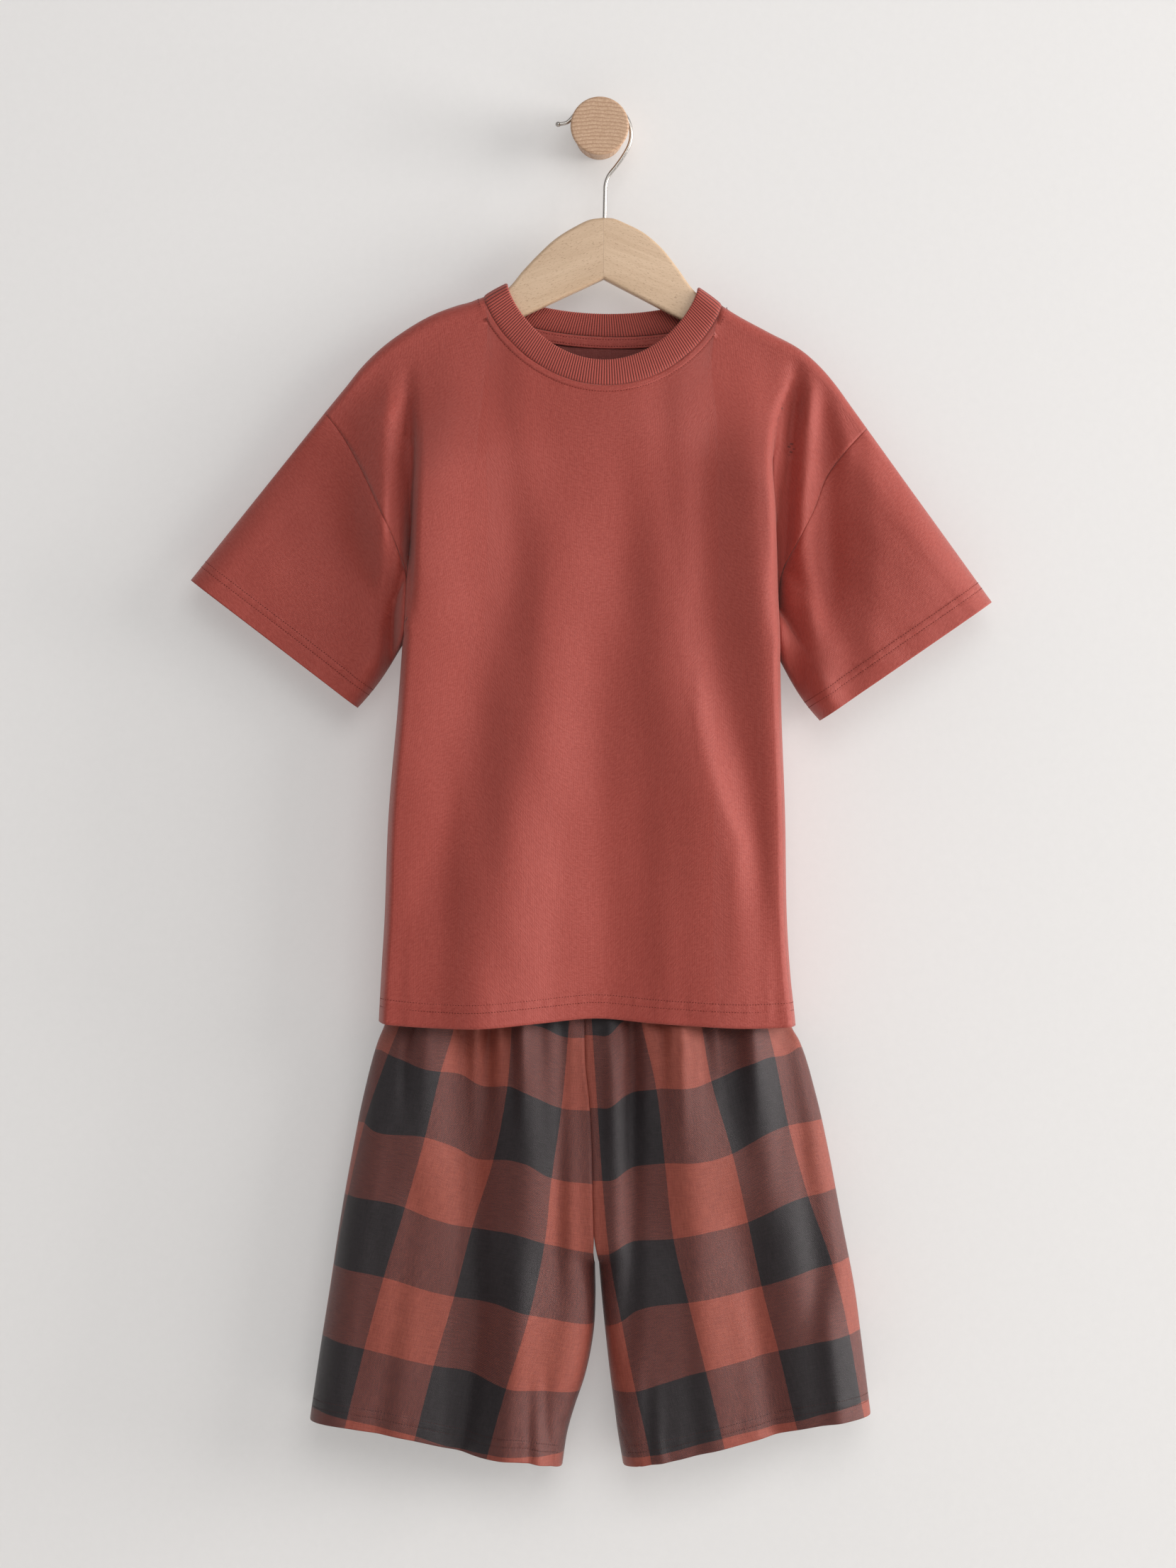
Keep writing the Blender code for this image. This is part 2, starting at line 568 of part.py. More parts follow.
def follow_edges(side, xz):
    """Moves the outer columns sideways, so that they run along the body's edge and its crest."""
    moved = xz.copy()
    knots = np.array([0.0, VALLEY_SHARE, CREST_SHARE, SHOULDER_SHARE])
    for hand, sign in (("left", 1.0), ("right", -1.0)):
        order = slice(None) if hand == "left" else slice(None, None, -1)
        columns = HALF_ACROSS[HALF_ACROSS <= SHOULDER_SHARE + 1e-9]
        for row, share in zip(moved, DOWN):
            x, z = row[order, 0], row[order, 1]
            edge = curve(BODY_EDGE["z"], BODY_EDGE[hand], z[:1])[0]
            valley = 1.5 if share >= ARM_SHARE else max(-1.0, sign * (x[0] - edge) + 1.0)
            at = [x[0], edge + sign * valley, edge + sign * EDGE_ROUND[side], x[len(columns) - 1]]
            follow = ease(share / 0.12)
            shifted = np.interp(columns, knots, at)
            x[:len(columns)] += (shifted - x[:len(columns)]) * follow
    return moved


def make_shirt_panel(side, finish):
    points = on_shirt(side, shirt_panel(side))
    if side == "back":
        points = points[:, ::-1]
    cloth("shirt_" + side, points, JERSEY, finish)


def sleeve_half(hand, side, lengths):
    """One layer of a sleeve: rows along its length, columns from its top fold to its bottom fold."""
    arm = on_shirt(side, along(ARMHOLE[hand]["x"], ARMHOLE[hand]["z"], ARM_STEPS))
    top, bottom = (np.array(CUFF[hand][end]) for end in ("top", "bottom"))
    share = ((1 - np.cos(np.pi * ARM_STEPS)) / 2 + ARM_STEPS) / 2
    cuff_xz = between(top, bottom, share[:, None])
    round_edge = roll(np.minimum(share, 1 - share) / SLEEVE_EDGE_SHARE)
    cuff_y = HANG_PLANE + TOWARDS[side] * SLEEVE_HALF_DEPTH[hand][side] * round_edge
    cuff = np.stack([cuff_xz[:, 0], cuff_y, cuff_xz[:, 1]], axis=-1)
    run = cuff - arm
    clear = SEAM_GAP + UNDERARM_CLEAR * ease((share - 0.5) / 0.3)
    arm = arm + run * (clear / np.linalg.norm(run, axis=1))[:, None]
    points = between(arm[None], cuff[None], lengths[:, None, None])
    shared = folds(SHIRT_FOLDS[side], arm[:, 0], arm[:, 2]) * round_edge
    settled = ease(lengths / SLEEVE_SETTLES)[:, None]
    level = arm[:, 1] - TOWARDS[side] * shared
    points[..., 1] = level + (cuff[:, 1] - level) * settled
    bellied = np.sin(np.pi * lengths)[:, None]
    points[..., 2] -= UNDER_SLEEVE_SAG * bellied * ease((share - 0.6) / 0.4)[None]
    shared = folds(SHIRT_FOLDS[side], points[..., 0], points[..., 2]) * round_edge
    points[..., 1] += TOWARDS[side] * shared
    return points


def make_sleeve(hand, finish):
    lengths = np.linspace(0, 1, SLEEVE_ROWS)
    front, back = (sleeve_half(hand, side, lengths) for side in ("front", "back"))
    front[:, (0, -1), 1] = HANG_PLANE
    ring = np.concatenate([front, back[:, -2:0:-1]], axis=1)
    if hand == "right":
        ring = ring[:, ::-1]
    cloth("sleeve_" + hand, ring, JERSEY, finish, ring=True)


def neck_run(line, side, count):
    """Evenly spaced points (x, y, z) along one side of the neck, from left to right."""
    xz = line(side, np.sin(np.linspace(-1, 1, 401) * np.pi / 2))
    length = np.concatenate([[0], np.cumsum(np.hypot(*np.diff(xz, axis=0).T))])
    at = (np.arange(count) + 0.5) / count * length[-1]
    x, z = (np.interp(at, length, column) for column in xz.T)
    return on_shirt(side, np.stack([x, z], axis=-1))


def make_neckband(finish):
    """A closed ring: ribs are raised in the outer points, and the inner ones stay plain."""
    counts = {}
    for side in ("front", "back"):
        xz = neck_seam(side, np.sin(np.linspace(-1, 1, 401) * np.pi / 2))
        counts[side] = 2 * round(np.hypot(*np.diff(xz, axis=0).T).sum() / RIB_PITCH)
    seam, edge = (np.concatenate([neck_run(line, "front", counts["front"]),
                                  neck_run(line, "back", counts["back"])[::-1]])
                  for line in (neck_seam, neck_edge))
    width = edge - seam
    seam = seam + width * NECK_SEAM_CLEAR / np.linalg.norm(width, axis=1, keepdims=True)
    forward = np.roll(seam + edge, -3, axis=0) - np.roll(seam + edge, 3, axis=0)
    outward = np.cross(forward, width)
    outward /= np.linalg.norm(outward, axis=1, keepdims=True)
    raised = RIB_WALL / 2 + RIB_HEIGHT * (np.arange(len(seam)) % 2)[:, None]
    section = [seam - outward * RIB_WALL / 2, edge - outward * RIB_WALL / 2,
               edge + outward * raised, seam + outward * raised]
    mesh = grid_mesh("neckband", np.array(section), ring=True, tube=True)
    add_object("neckband", mesh, finish, RIB_SHARP)


def make_neck_tape(finish):
    """The tape inside the back neck, laid on the back panel's points and moved forward."""
    t = np.linspace(-0.93, 0.93, 25)
    seam = neck_seam("back", t)
    rows = []
    for drop in (1.0, 1.0 + TAPE_WIDTH / 2, 1.0 + TAPE_WIDTH):
        xz = seam + (0.0, -drop)
        points = on_shirt("back", xz)
        points[:, 1] -= JERSEY / 2 + SEAM_GAP + TAPE_WALL / 2
        rows.append(points)
    cloth("neck_tape", np.array(rows), TAPE_WALL, finish)


# ---------------------------------------------------------------- the shorts

LEG_ACROSS = graded((0.12, 3, 1.6), (0.86, 7, 1.0), (1.0, 3, -1.6))
LEG_DOWN = graded((0.10, 2, 1.0), (0.46, 3, 1.0), (0.56, 3, -1.5), (1.0, 5, 1.0))
CROTCH_SHARE = 0.56


def leg_panel(hand, side):
    """Points (x, z) of one leg's front or back, from its outseam to its centre seam and inseam."""
    top_z = WAIST_BOTTOM - SEAM_GAP - WOVEN / 2
    hem = LEG_HEM[hand]
    outer_end, inner_end = (0, -1) if hand == "left" else (-1, 0)
    outer_z = top_z + (hem["z"][outer_end] - top_z) * LEG_DOWN
    outer = np.stack([curve(SHORTS_EDGE["z"], SHORTS_EDGE[hand], outer_z), outer_z], axis=-1)
    rise = LEG_DOWN[LEG_DOWN <= CROTCH_SHARE + 1e-9] / CROTCH_SHARE
    rise_z = top_z + (CROTCH[1] - top_z) * rise
    half_gap = FOLD_GAP * (-1 if hand == "left" else 1)
    widening = 1 + 2 * ease((rise - 0.7) / 0.3)
    seam_x = curve(CENTRE_SEAM["z"], CENTRE_SEAM["x"], rise_z) + half_gap * widening
    below = (LEG_DOWN[LEG_DOWN > CROTCH_SHARE + 1e-9] - CROTCH_SHARE) / (1 - CROTCH_SHARE)
    inseam_z = CROTCH[1] + (hem["z"][inner_end] - CROTCH[1]) * below
    inseam_x = curve(LEG_INNER["z"], LEG_INNER[hand], inseam_z)
    seam_x[-1] = curve(LEG_INNER["z"], LEG_INNER[hand], np.array(CROTCH[1]))
    inner = np.stack([np.append(seam_x, inseam_x), np.append(rise_z, inseam_z)], axis=-1)
    top = outer[0] + (inner[0] - outer[0]) * LEG_ACROSS[:, None]
    hem_x = outer[-1, 0] + (inner[-1, 0] - outer[-1, 0]) * LEG_ACROSS
    bottom = np.stack([hem_x, curve(hem["x"], hem["z"], hem_x)], axis=-1)
    bottom[0], bottom[-1] = outer[-1], inner[-1]
    return patch(top, bottom, outer, inner, LEG_ACROSS, LEG_DOWN)


def make_leg(hand, side, finish):
    xz = leg_panel(hand, side)
    y = shorts_depth(side, xz[..., 0], xz[..., 1], hand)
    points = np.stack([xz[..., 0], y, xz[..., 1]], axis=-1)
    if (hand == "left") == (side == "back"):
        points = points[:, ::-1]
    cloth(f"shorts_{hand}_{side}", points, WOVEN, finish)


def make_waistband(finish):
    """The gathered elastic casing: a flattened ring that just meets the inside of the shirt."""
    left, right = (float(curve(SHORTS_EDGE["z"], SHORTS_EDGE[hand], np.array(WAIST_BOTTOM)))
                   for hand in ("left", "right"))
    half_width, centre = (right - left) / 2 - WAIST_INSET, (left + right) / 2
    level_x = np.linspace(left + WAIST_LEVEL, right - WAIST_LEVEL, 60)
    count = WAIST_GATHERS * 4
    angle = np.arange(count) / count * 2 * np.pi
    gather = WAIST_GATHER_DEPTH * np.cos(WAIST_GATHERS * angle)
    ring_x = centre + half_width * np.sign(np.cos(angle)) * np.abs(np.cos(angle)) ** WAIST_SQUARED
    flat = np.abs(np.sin(angle)) ** WAIST_SQUARED
    half_depth = {}
    for side in ("front", "back"):
        rooms = [room_in_shirt(side, level_x, np.full(60, z)).min()
                 for z in (WAIST_BOTTOM, WAIST_TOP)]
        half_depth[side] = min(rooms) + SHORTS_CLEAR - SEAM_GAP - (WAIST_WALL - WOVEN) / 2
    half_depth = np.where(np.sin(angle) > 0, half_depth["front"], half_depth["back"])
    reach = (half_depth - WAIST_GATHER_DEPTH + gather) * flat
    ring_y = SHORTS_PLANE - np.sign(np.sin(angle)) * reach
    rows = [np.stack([ring_x, ring_y, np.full(count, z)], axis=-1)
            for z in (WAIST_TOP, WAIST_BOTTOM)]
    cloth("shorts_waistband", np.array(rows)[:, ::-1], WAIST_WALL, finish, ring=True)


# ---------------------------------------------------------------- hanger, hook and knob


def hanger_outline(hand):
    """One arm of the hanger in its own plane, from the mitre's top round to the mitre's foot."""
    if hand == "left":
        top = [(MITRE_X, -69.5), (-7.5, -70.6), (-17.1, -74.3), (-33.1, -83.4), (-46.0, -95.1),
               (-58.2, -108.0), (-69.5, -121.3)]
        hidden = (-84.0, -100.0, -116.0, -132.0, -147.0)
        apex, corner, tip = (MITRE_X, -114.1), (-57.8, -142.3), (-160.5, -181.0)
    else:
        top = [(MITRE_X, -69.5), (10.5, -69.9), (18.7, -72.7), (32.6, -78.6), (46.5, -90.3),
               (58.0, -104.6), (72.8, -124.4)]
        hidden = (88.0, 104.0, 120.0, 134.0, 148.0)
        apex, corner, tip = (MITRE_X, -114.1), (61.6, -144.7), (159.5, -189.0)
    for x in hidden:
        top.append((x, float(curve(SHOULDERS["x"], SHOULDERS["z"], np.array(x))) - HANGER_DROP))
    slope = (corner[1] - apex[1]) / (corner[0] - apex[0])
    foot_x = tip[0] * 0.945
    foot = (foot_x, apex[1] + slope * (foot_x - apex[0]))
    outline = top + [tip, foot, corner, apex]
    shift = -SEAM_GAP / 2 if hand == "left" else SEAM_GAP / 2
    return [(x + shift if x == MITRE_X else x, z) for x, z in outline]


def make_hanger_arm(hand, finish):
    outline = hanger_outline(hand)
    flat = bpy.data.curves.new("hanger_" + hand, "CURVE")
    flat.dimensions = "2D"
    flat.fill_mode = "BOTH"
    flat.extrude = (HANGER_THICK / 2 - HANGER_BEVEL) * MM
    flat.bevel_depth = HANGER_BEVEL * MM
    flat.bevel_resolution = 2
    flat.offset = -HANGER_BEVEL * MM
    spline = flat.splines.new("POLY")
    spline.points.add(len(outline) - 1)
    for point, (x, z) in zip(spline.points, outline):
        point.co = (x * MM, z * MM, 0.0, 1.0)
    spline.use_cyclic_u = True
    made = add_object("hanger_" + hand, flat, finish)
    made.rotation_euler = (math.pi / 2, 0.0, 0.0)
    made.location = (0.0, HANG_PLANE * MM, 0.0)


def hook_route():
    """Centre line (x, z) of the wire, from its foot in the hanger to the ball's centre."""
    foot = [(3.7, -69.5 + WIRE_RADIUS / 2), (3.9, -60.0), (4.1, -50.0), (4.6, -41.5), (6.9, -35.4),
            (12.1, -28.8), (17.3, -21.6)]
    centre_x, centre_z = HOOK_CENTRE
    bend = [(centre_x + HOOK_RADIUS * math.cos(a), centre_z + HOOK_RADIUS * math.sin(a))
            for a in np.radians(np.arange(-26, 147, 10.5))]
    end = [(-22.6, 6.6), (-25.0, 4.7), (-28.2, 3.9), (-31.4, 3.5)]
    return foot + bend + end


def make_hook(finish):
    wire = bpy.data.curves.new("hook", "CURVE")
    wire.dimensions = "3D"
    wire.bevel_depth = WIRE_RADIUS * MM
    wire.bevel_resolution = 2
    wire.use_fill_caps = True
    route = hook_route()
    spline = wire.splines.new("POLY")
    spline.points.add(len(route) - 1)
    for point, (x, z) in zip(spline.points, route):
        point.co = (x * MM, HANG_PLANE * MM, z * MM, 1.0)
    tube = bpy.data.objects.new("hook_wire", wire)
    parts.objects.link(tube)
    graph = bpy.context.evaluated_depsgraph_get()
    mesh = bpy.data.meshes.new_from_object(tube.evaluated_get(graph))
    bpy.data.objects.remove(tube)
    welded = bmesh.new()
    welded.from_mesh(mesh)
    bmesh.ops.remove_doubles(welded, verts=welded.verts, dist=1e-6)
    welded.to_mesh(mesh)
    welded.free()
    mesh.name = "hook"
    hook = add_object("hook", mesh, finish, 60.0)
    ball_mesh = bpy.data.meshes.new("hook_ball")
    ball = bmesh.new()
    bmesh.ops.create_uvsphere(ball, u_segments=14, v_segments=8, radius=BALL_RADIUS * MM)
    ball.to_mesh(ball_mesh)
    ball.free()
    cutter = bpy.data.objects.new("hook_ball", ball_mesh)
    cutter.location = (route[-1][0] * MM, HANG_PLANE * MM, route[-1][1] * MM)
    cutter.hide_render = True
    cutter.display_type = "WIRE"
    guides.objects.link(cutter)
    join = hook.modifiers.new("ball", "BOOLEAN")
    join.operation = "UNION"
    join.object = cutter


def make_knob(finish):
    """A turned knob: a straight neck from the wall and a wider disc in front of it."""
    disc_back = KNOB_LENGTH - KNOB_DISC_THICK
    cove = [(disc_back - 2.4, KNOB_NECK_RADIUS), (disc_back - 0.6, KNOB_NECK_RADIUS + 0.8),
            (disc_back, KNOB_NECK_RADIUS + 2.4)]
    arcs = []
    for centre, first in ((disc_back + KNOB_EDGE, 180), (KNOB_LENGTH - KNOB_EDGE, 90)):
        for step in range(3):
            angle = math.radians(first - step * 45)
            arcs.append((centre + KNOB_EDGE * math.cos(angle),
                         KNOB_DISC_RADIUS - KNOB_EDGE + KNOB_EDGE * math.sin(angle)))
    profile = [(0.0, 0.0), (0.0, KNOB_NECK_RADIUS)] + cove + arcs + [(KNOB_LENGTH, 0.0)]
    mesh = bpy.data.meshes.new("knob")
    points = [(radius * MM, 0.0, length * MM) for length, radius in profile][::-1]
    mesh.from_pydata(points, [(i, i + 1) for i in range(len(points) - 1)], [])
    knob = add_object("knob", mesh, finish)
    knob.rotation_euler = (math.pi / 2, 0.0, 0.0)
    turn = knob.modifiers.new("turn", "SCREW")
    turn.steps = turn.render_steps = 28
    turn.use_merge_vertices = True
    turn.merge_threshold = 0.0001
    turn.use_smooth_shade = True


# ---------------------------------------------------------------- assembly

for old in list(bpy.data.objects):
    bpy.data.objects.remove(old)

parts = bpy.data.collections.new("pyjama_set")
guides = bpy.data.collections.new("guides")
guides.hide_render = True
for collection in (parts, guides):
    bpy.context.scene.collection.children.link(collection)

jersey = material("rust_jersey", (0.40, 0.082, 0.058), 0.85)
rib = material("rust_rib", (0.42, 0.088, 0.062), 0.85)
check = material("check_cotton", (0.19, 0.075, 0.062), 0.9)
beech = material("beech", (0.62, 0.43, 0.27), 0.5)
knob_wood = material("knob_wood", (0.52, 0.32, 0.20), 0.6)
steel = material("polished_steel", (0.62, 0.60, 0.58), 0.25, 1.0)

for panel_side_name in ("front", "back"):
    make_shirt_panel(panel_side_name, jersey)
for hand_name in ("left", "right"):
    make_sleeve(hand_name, jersey)
    make_hanger_arm(hand_name, beech)
    for panel_side_name in ("front", "back"):
        make_leg(hand_name, panel_side_name, check)
make_neckband(rib)
make_neck_tape(jersey)
make_waistband(check)
make_hook(steel)
make_knob(knob_wood)
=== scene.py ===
"""Looks of the child's pyjama set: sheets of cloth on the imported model's forms, and materials.

Lengths below are in millimetres in the model's frame: the origin is the centre of the knob's back
face on the wall, +X is the viewer's right, +Z is up, and the set hangs towards -Y.
"""

import math
from functools import partial

import bmesh
import bpy
import numpy as np
from mathutils import Matrix, Vector


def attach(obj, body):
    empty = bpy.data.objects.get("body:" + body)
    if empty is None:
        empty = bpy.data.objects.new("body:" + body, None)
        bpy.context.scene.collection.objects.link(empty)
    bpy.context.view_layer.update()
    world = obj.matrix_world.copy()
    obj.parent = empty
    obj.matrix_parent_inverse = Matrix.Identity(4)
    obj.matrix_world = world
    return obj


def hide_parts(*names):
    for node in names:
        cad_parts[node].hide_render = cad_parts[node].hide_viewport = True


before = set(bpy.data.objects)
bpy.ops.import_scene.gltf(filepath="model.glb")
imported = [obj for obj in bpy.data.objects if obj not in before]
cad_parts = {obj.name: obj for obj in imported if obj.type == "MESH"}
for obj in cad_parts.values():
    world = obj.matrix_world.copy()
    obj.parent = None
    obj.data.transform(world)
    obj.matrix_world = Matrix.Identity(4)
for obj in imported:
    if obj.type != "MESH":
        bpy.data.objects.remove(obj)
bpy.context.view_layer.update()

MM = 0.001
SIDES = ("front", "back")
HANDS = ("left", "right")               # the viewer's
TOWARDS = {"front": -1.0, "back": 1.0}  # which way along Y each side of the set faces
INWARD = {"left": 1.0, "right": -1.0}   # which way along X each hand's edge faces inward

# ---------------------------------------------------------------- sizes of the model's forms
# Most are the solids' own. Some differ, where the cloth follows the photo more closely.
HANG_PLANE = -31.0          # depth of the hanger's and the shirt's middle plane
FOLD_RADIUS = 8.0           # cloth turned over the hanger, and at a sleeve's folded edges
FOLD_GAP = 0.35
PERPENDICULAR = 0.8         # cosine of the shoulders' mean slope
HANGER_THICK = 11.0
HANGER_DROP = 4.4
MITRE_X = 3.0
WIRE_RADIUS = 1.5
HOOK_RADIUS = 23.9
HOOK_CENTRE = (0.0, -3.8)
BALL_RADIUS = 2.1
KNOB_NECK_RADIUS = 18.3
KNOB_DISC_RADIUS = 22.0
KNOB_LENGTH = 46.0
KNOB_DISC_THICK = 9.0
NECK_SEAM_DROP = {"front": 65.5, "back": 25.5}
NECK_SEAM_POWER = {"front": 0.72, "back": 0.5}
NECK_EDGE_DROP = {"front": 57.0, "back": 19.5}
NECK_EDGE_POWER = {"front": 0.72, "back": 0.5}
NECK_SEAM_ENDS = ((-87.4, -127.8), (91.9, -134.0))
NECK_EDGE_ENDS = ((-69.6, -117.8), (74.1, -120.7))
SLEEVE_EDGE_SHARE = 0.12    # share of its width over which each folded edge turns
UNDER_SLEEVE_SAG = 4.0
UNDERARM_CLEAR = 0.6        # gap between a sleeve and the body where both turn in
WAIST_TOP = -642.0
WAIST_BOTTOM = -668.0
WAIST_SQUARED = 0.62        # below 1, the flattened ring keeps its full depth to near its ends
WAIST_INSET = 3.0
WAIST_LEVEL = 45.0
WAIST_GATHERS = 30
CROTCH = (-2.0, -858.0)
SHORTS_PLANE = -35.0
SHORTS_CLEAR = 1.8          # least room between the shirt's hem and the shorts inside it
SHIRT_REACH = -682.0        # the shorts stay behind the shirt down to here
SHORTS_LEAVE = 36.0         # length over which they come out from behind it
EVEN_SHARE = 0.35           # share of a panel's length over which its columns become even
BEND_FADE = 1.5             # how fast the shapes of its top and bottom edges fade inside it
FOLD_FADE = 55.0            # length over which a fold dies away past its ends

# ---------------------------------------------------------------- sizes of the cloth's own detail
JERSEY = 1.0                # one layer of the shirt's cloth
WOVEN = 1.0                 # one layer of the shorts' cloth
HEM_RAISE = 0.42            # a hem's second layer stands out this far
STITCH_SINK = 0.30          # depth of the groove that a row of stitches pulls in
STITCH_GROOVE = 0.55        # half width of that groove
SHIRT_STITCHES = (12.0, 17.7)       # rows above the shirt's hem
SLEEVE_STITCHES = (13.0, 18.0)      # rows in from a sleeve's hem
SHORTS_STITCHES = (11.0, 16.6)      # rows above the shorts' hem
NECK_BAND_RAISE = 0.55      # the seam allowance under the cloth below the neckband
NECK_STITCH = 4.5           # its row of stitches, from the seam
STITCH_PITCH = 2.15
STITCH_LENGTH = 1.45
STITCH_RADIUS = 0.30
RIB_PITCH = 2.1
RIB_COLUMNS = 6
RIB_HEIGHT = 0.55
RIB_HALF = 0.85             # half of the folded band's thickness in its grooves
TAPE_WIDTH = 8.5
SQUARE = 54.0               # side of one square of the check
TWILL = 1.05                # pitch of the twill's diagonal
WALE = 0.9                  # pitch of the jersey's wales
HEM_STEP = 0.8              # width of the step from a hem's doubled cloth to its single cloth
JERSEY_PAST = 1.0           # doubled cloth ends this far past its last row of stitches
WOVEN_PAST = 1.2            # the same for the shorts
PUCKER = 0.16               # height of the waves that the thread's pull leaves around a hem
PUCKER_REACH = 7.0
PUCKER_WAVES = ((8.3, 0.0, 1.0), (13.7, 1.1, 0.7))  # length, phase and share of each wave
NECK_BAND_PAST = 0.6        # the neck's allowance ends this far past its stitches
NECK_BAND_STEP = 1.4        # width of the step down where it ends
NECK_SEAM_STEP = 1.6        # width of the step up at the seam, and the share that it starts with
NECK_SEAM_START = 0.15
NECK_LOWEST = -215.0        # nothing below this is near the neck
FAR = 99.0                  # distance from the neck that those points get
FOLDS_RUN = 40.0            # from the shoulder down to the folds' full height
SHIRT_DETAIL = 1.2          # the detail is full where the cloth stands out this far
SHORTS_DETAIL = 3.0
ROOM_INSET = 2.0            # the room in the hem is read this far inside the body's edges
CENTRE_SINK = 1.1           # groove of the shorts' centre seam
CENTRE_HALF = 1.2           # its half width
CENTRE_RUN = 10.0           # from the crotch up to its full depth
INSEAM_SINK = 0.9           # groove of an inseam, below INSEAM_TOP
INSEAM_HALF = 0.9
INSEAM_TOP = -896.0
INSEAM_RUN = 18.0           # from there down to its full depth


def table(columns, rows):
    """A dictionary that holds each named column as an array."""
    return dict(zip(columns.split(), np.array(rows, float).T))


def tables(columns, lists):
    """A table for each list of rows."""
    return [table(columns, rows) for rows in lists]


# Outline of both shoulders, from one shoulder point over the hanger to the other.
SHOULDERS = table("x z", [
    (-207.7, -215.3), (-191, -194.9), (-180.3, -181.5), (-166.9, -168.1), (-149.2, -154.6),
    (-126.1, -141.2), (-87.4, -127.8), (-69.6, -117.8), (-46, -95.1), (-17.1, -74.3), (3.2, -68.5),
    (18.7, -72.7), (46.5, -90.3), (74.1, -120.7), (91.9, -134), (103.1, -141.2), (127.8, -154.6),
    (152.5, -168.1), (167.5, -181.5), (178.8, -194.9), (188.4, -208.3), (201.9, -227.1),
])

# A smooth line over both shoulders and the neck, from which the body's fullness is measured down.
YOKE = table("x z", [
    (-215, -226), (-180, -180), (-149, -154.6), (-100, -131), (-50, -117), (2, -112), (55, -118),
    (105, -140), (152.5, -168.1), (180, -197), (212, -240),
])

ARMHOLE = {
    "left": table("x z", [
        (-207.7, -215.3), (-195.4, -231.1), (-184.6, -249), (-174, -269.6), (-163.5, -292.5),
        (-153.4, -314.8), (-145.4, -337.6), (-145, -362), (-146.6, -385),
    ]),
    "right": table("x z", [
        (201.9, -227.1), (183.7, -247.1), (171.2, -264.5), (162.3, -287.3), (149.1, -313.8),
        (138.3, -335.1), (135, -362), (135.6, -400),
    ]),
}

# The body's outer edge. Above the underarm it is the crest that stands in front of the armhole.
BODY_EDGE = table("z left right", [
    (-700, -167.2, 148.4), (-676, -166.3, 147.1), (-640, -164.4, 143.4), (-599, -162, 140.8),
    (-519.4, -158.9, 139.4), (-439.7, -152, 136.5), (-370.6, -147, 135.1), (-333.5, -144, 134.2),
    (-291, -140.5, 132.2), (-248.5, -138.5, 130.1), (-215, -139, 135), (-185, -141, 147),
    (-150, -143, 158),
])

SHIRT_HEM = {
    "front": table("x z", [
        (-166.3, -673.9), (-129.9, -677.5), (-92.9, -678.5), (-45.6, -674.8), (-3.2, -671.4),
        (39.1, -674.8), (81.1, -677.4), (107.5, -678.5), (147.1, -677.1),
    ]),
    "back": table("x z", [
        (-166.3, -673.9), (-60, -672), (60, -673), (147.1, -677.1),
    ]),
}

# How far the body stands out from its middle plane, beyond the turned edge.
BODY_BULGE = {
    "front": table("z depth", [
        (-700, 31), (-676, 31), (-560, 33), (-430, 34), (-330, 33), (-250, 31), (-190, 22),
        (-120, 10), (-60, 6),
    ]),
    "back": table("z depth", [
        (-700, 9), (-560, 11), (-400, 12), (-250, 9), (-160, 4), (-60, 2),
    ]),
}
EDGE_ROUND = {"front": 7.5, "back": 12.0}
BULGE_RUN = 95.0            # from the shoulder down to the full bulge

# The front's broad ridges and valleys from left to right: how far each line stands out from the
# bulge at a height. Between two lines the cloth runs smoothly from one to the other.
FRONT_Z = np.array([-700, -652, -599, -546, -493, -440, -387, -334, -291, -249, -206, -150], float)
FRONT_LINES = [{"z": FRONT_Z, **line} for line in tables("x height", [
    [(-149, 3), (-148, 2), (-147, 0), (-145, 0), (-144, 0), (-141, 0), (-137, 0), (-132, 0),
     (-128, 0), (-126, 0), (-122, 0), (-118, 0)],
    [(-143, 4), (-142, 3), (-137, 0), (-119, -2.3), (-104, -3.8), (-91, -7.6), (-79, -8.8),
     (-66, -9.7), (-63, -9.5), (-62, -7), (-70, -3.5), (-70, 0)],
    [(-88, 12), (-85, 10.8), (-77, 9.3), (-67, 6.1), (-56, 4.4), (-47, 0), (-43, -2.7),
     (-36, -6.2), (-32, -7.8), (-38, -7.4), (-45, -4.5), (-45, 0)],
    [(0, -6), (2, -6.5), (7, -7.1), (10, -8.7), (6, -7.6), (7, -9.2), (12, -10), (15, -12.1),
     (20, -11.5), (12, -9), (0, -4.5), (0, 0)],
    [(92, 5), (95, 4.6), (100, 3.1), (92, 3.3), (77, 4), (66, 0.4), (58, -3.6), (52, -7.6),
     (46, -10), (44, -9), (40, -4.5), (40, 0)],
    [(124, 3), (124, 2), (122, 0), (119, -5), (109, -6.2), (97, -8), (87, -9.1), (79, -10.3),
     (74, -11), (76, -9.5), (80, -3.5), (80, 0)],
    [(134, 3), (133, 1), (131, 0), (130, -3), (129, -2), (127, 0), (125, 1.5), (122, 1), (119, 1),
     (119, 0.5), (118, 0), (118, 0)],
])]


def fold_table(rows):
    """Soft folds: a ridge (+) or trough (-) from its top (x0, z0) to its bottom (x1, z1).

    Each stands start high at its top and end high at its bottom, and bows sideways between them.
    Where there is a ninth column, it is the fold's width to the right of its line.
    """
    return table("x0 z0 x1 z1 width start end bow right", rows)


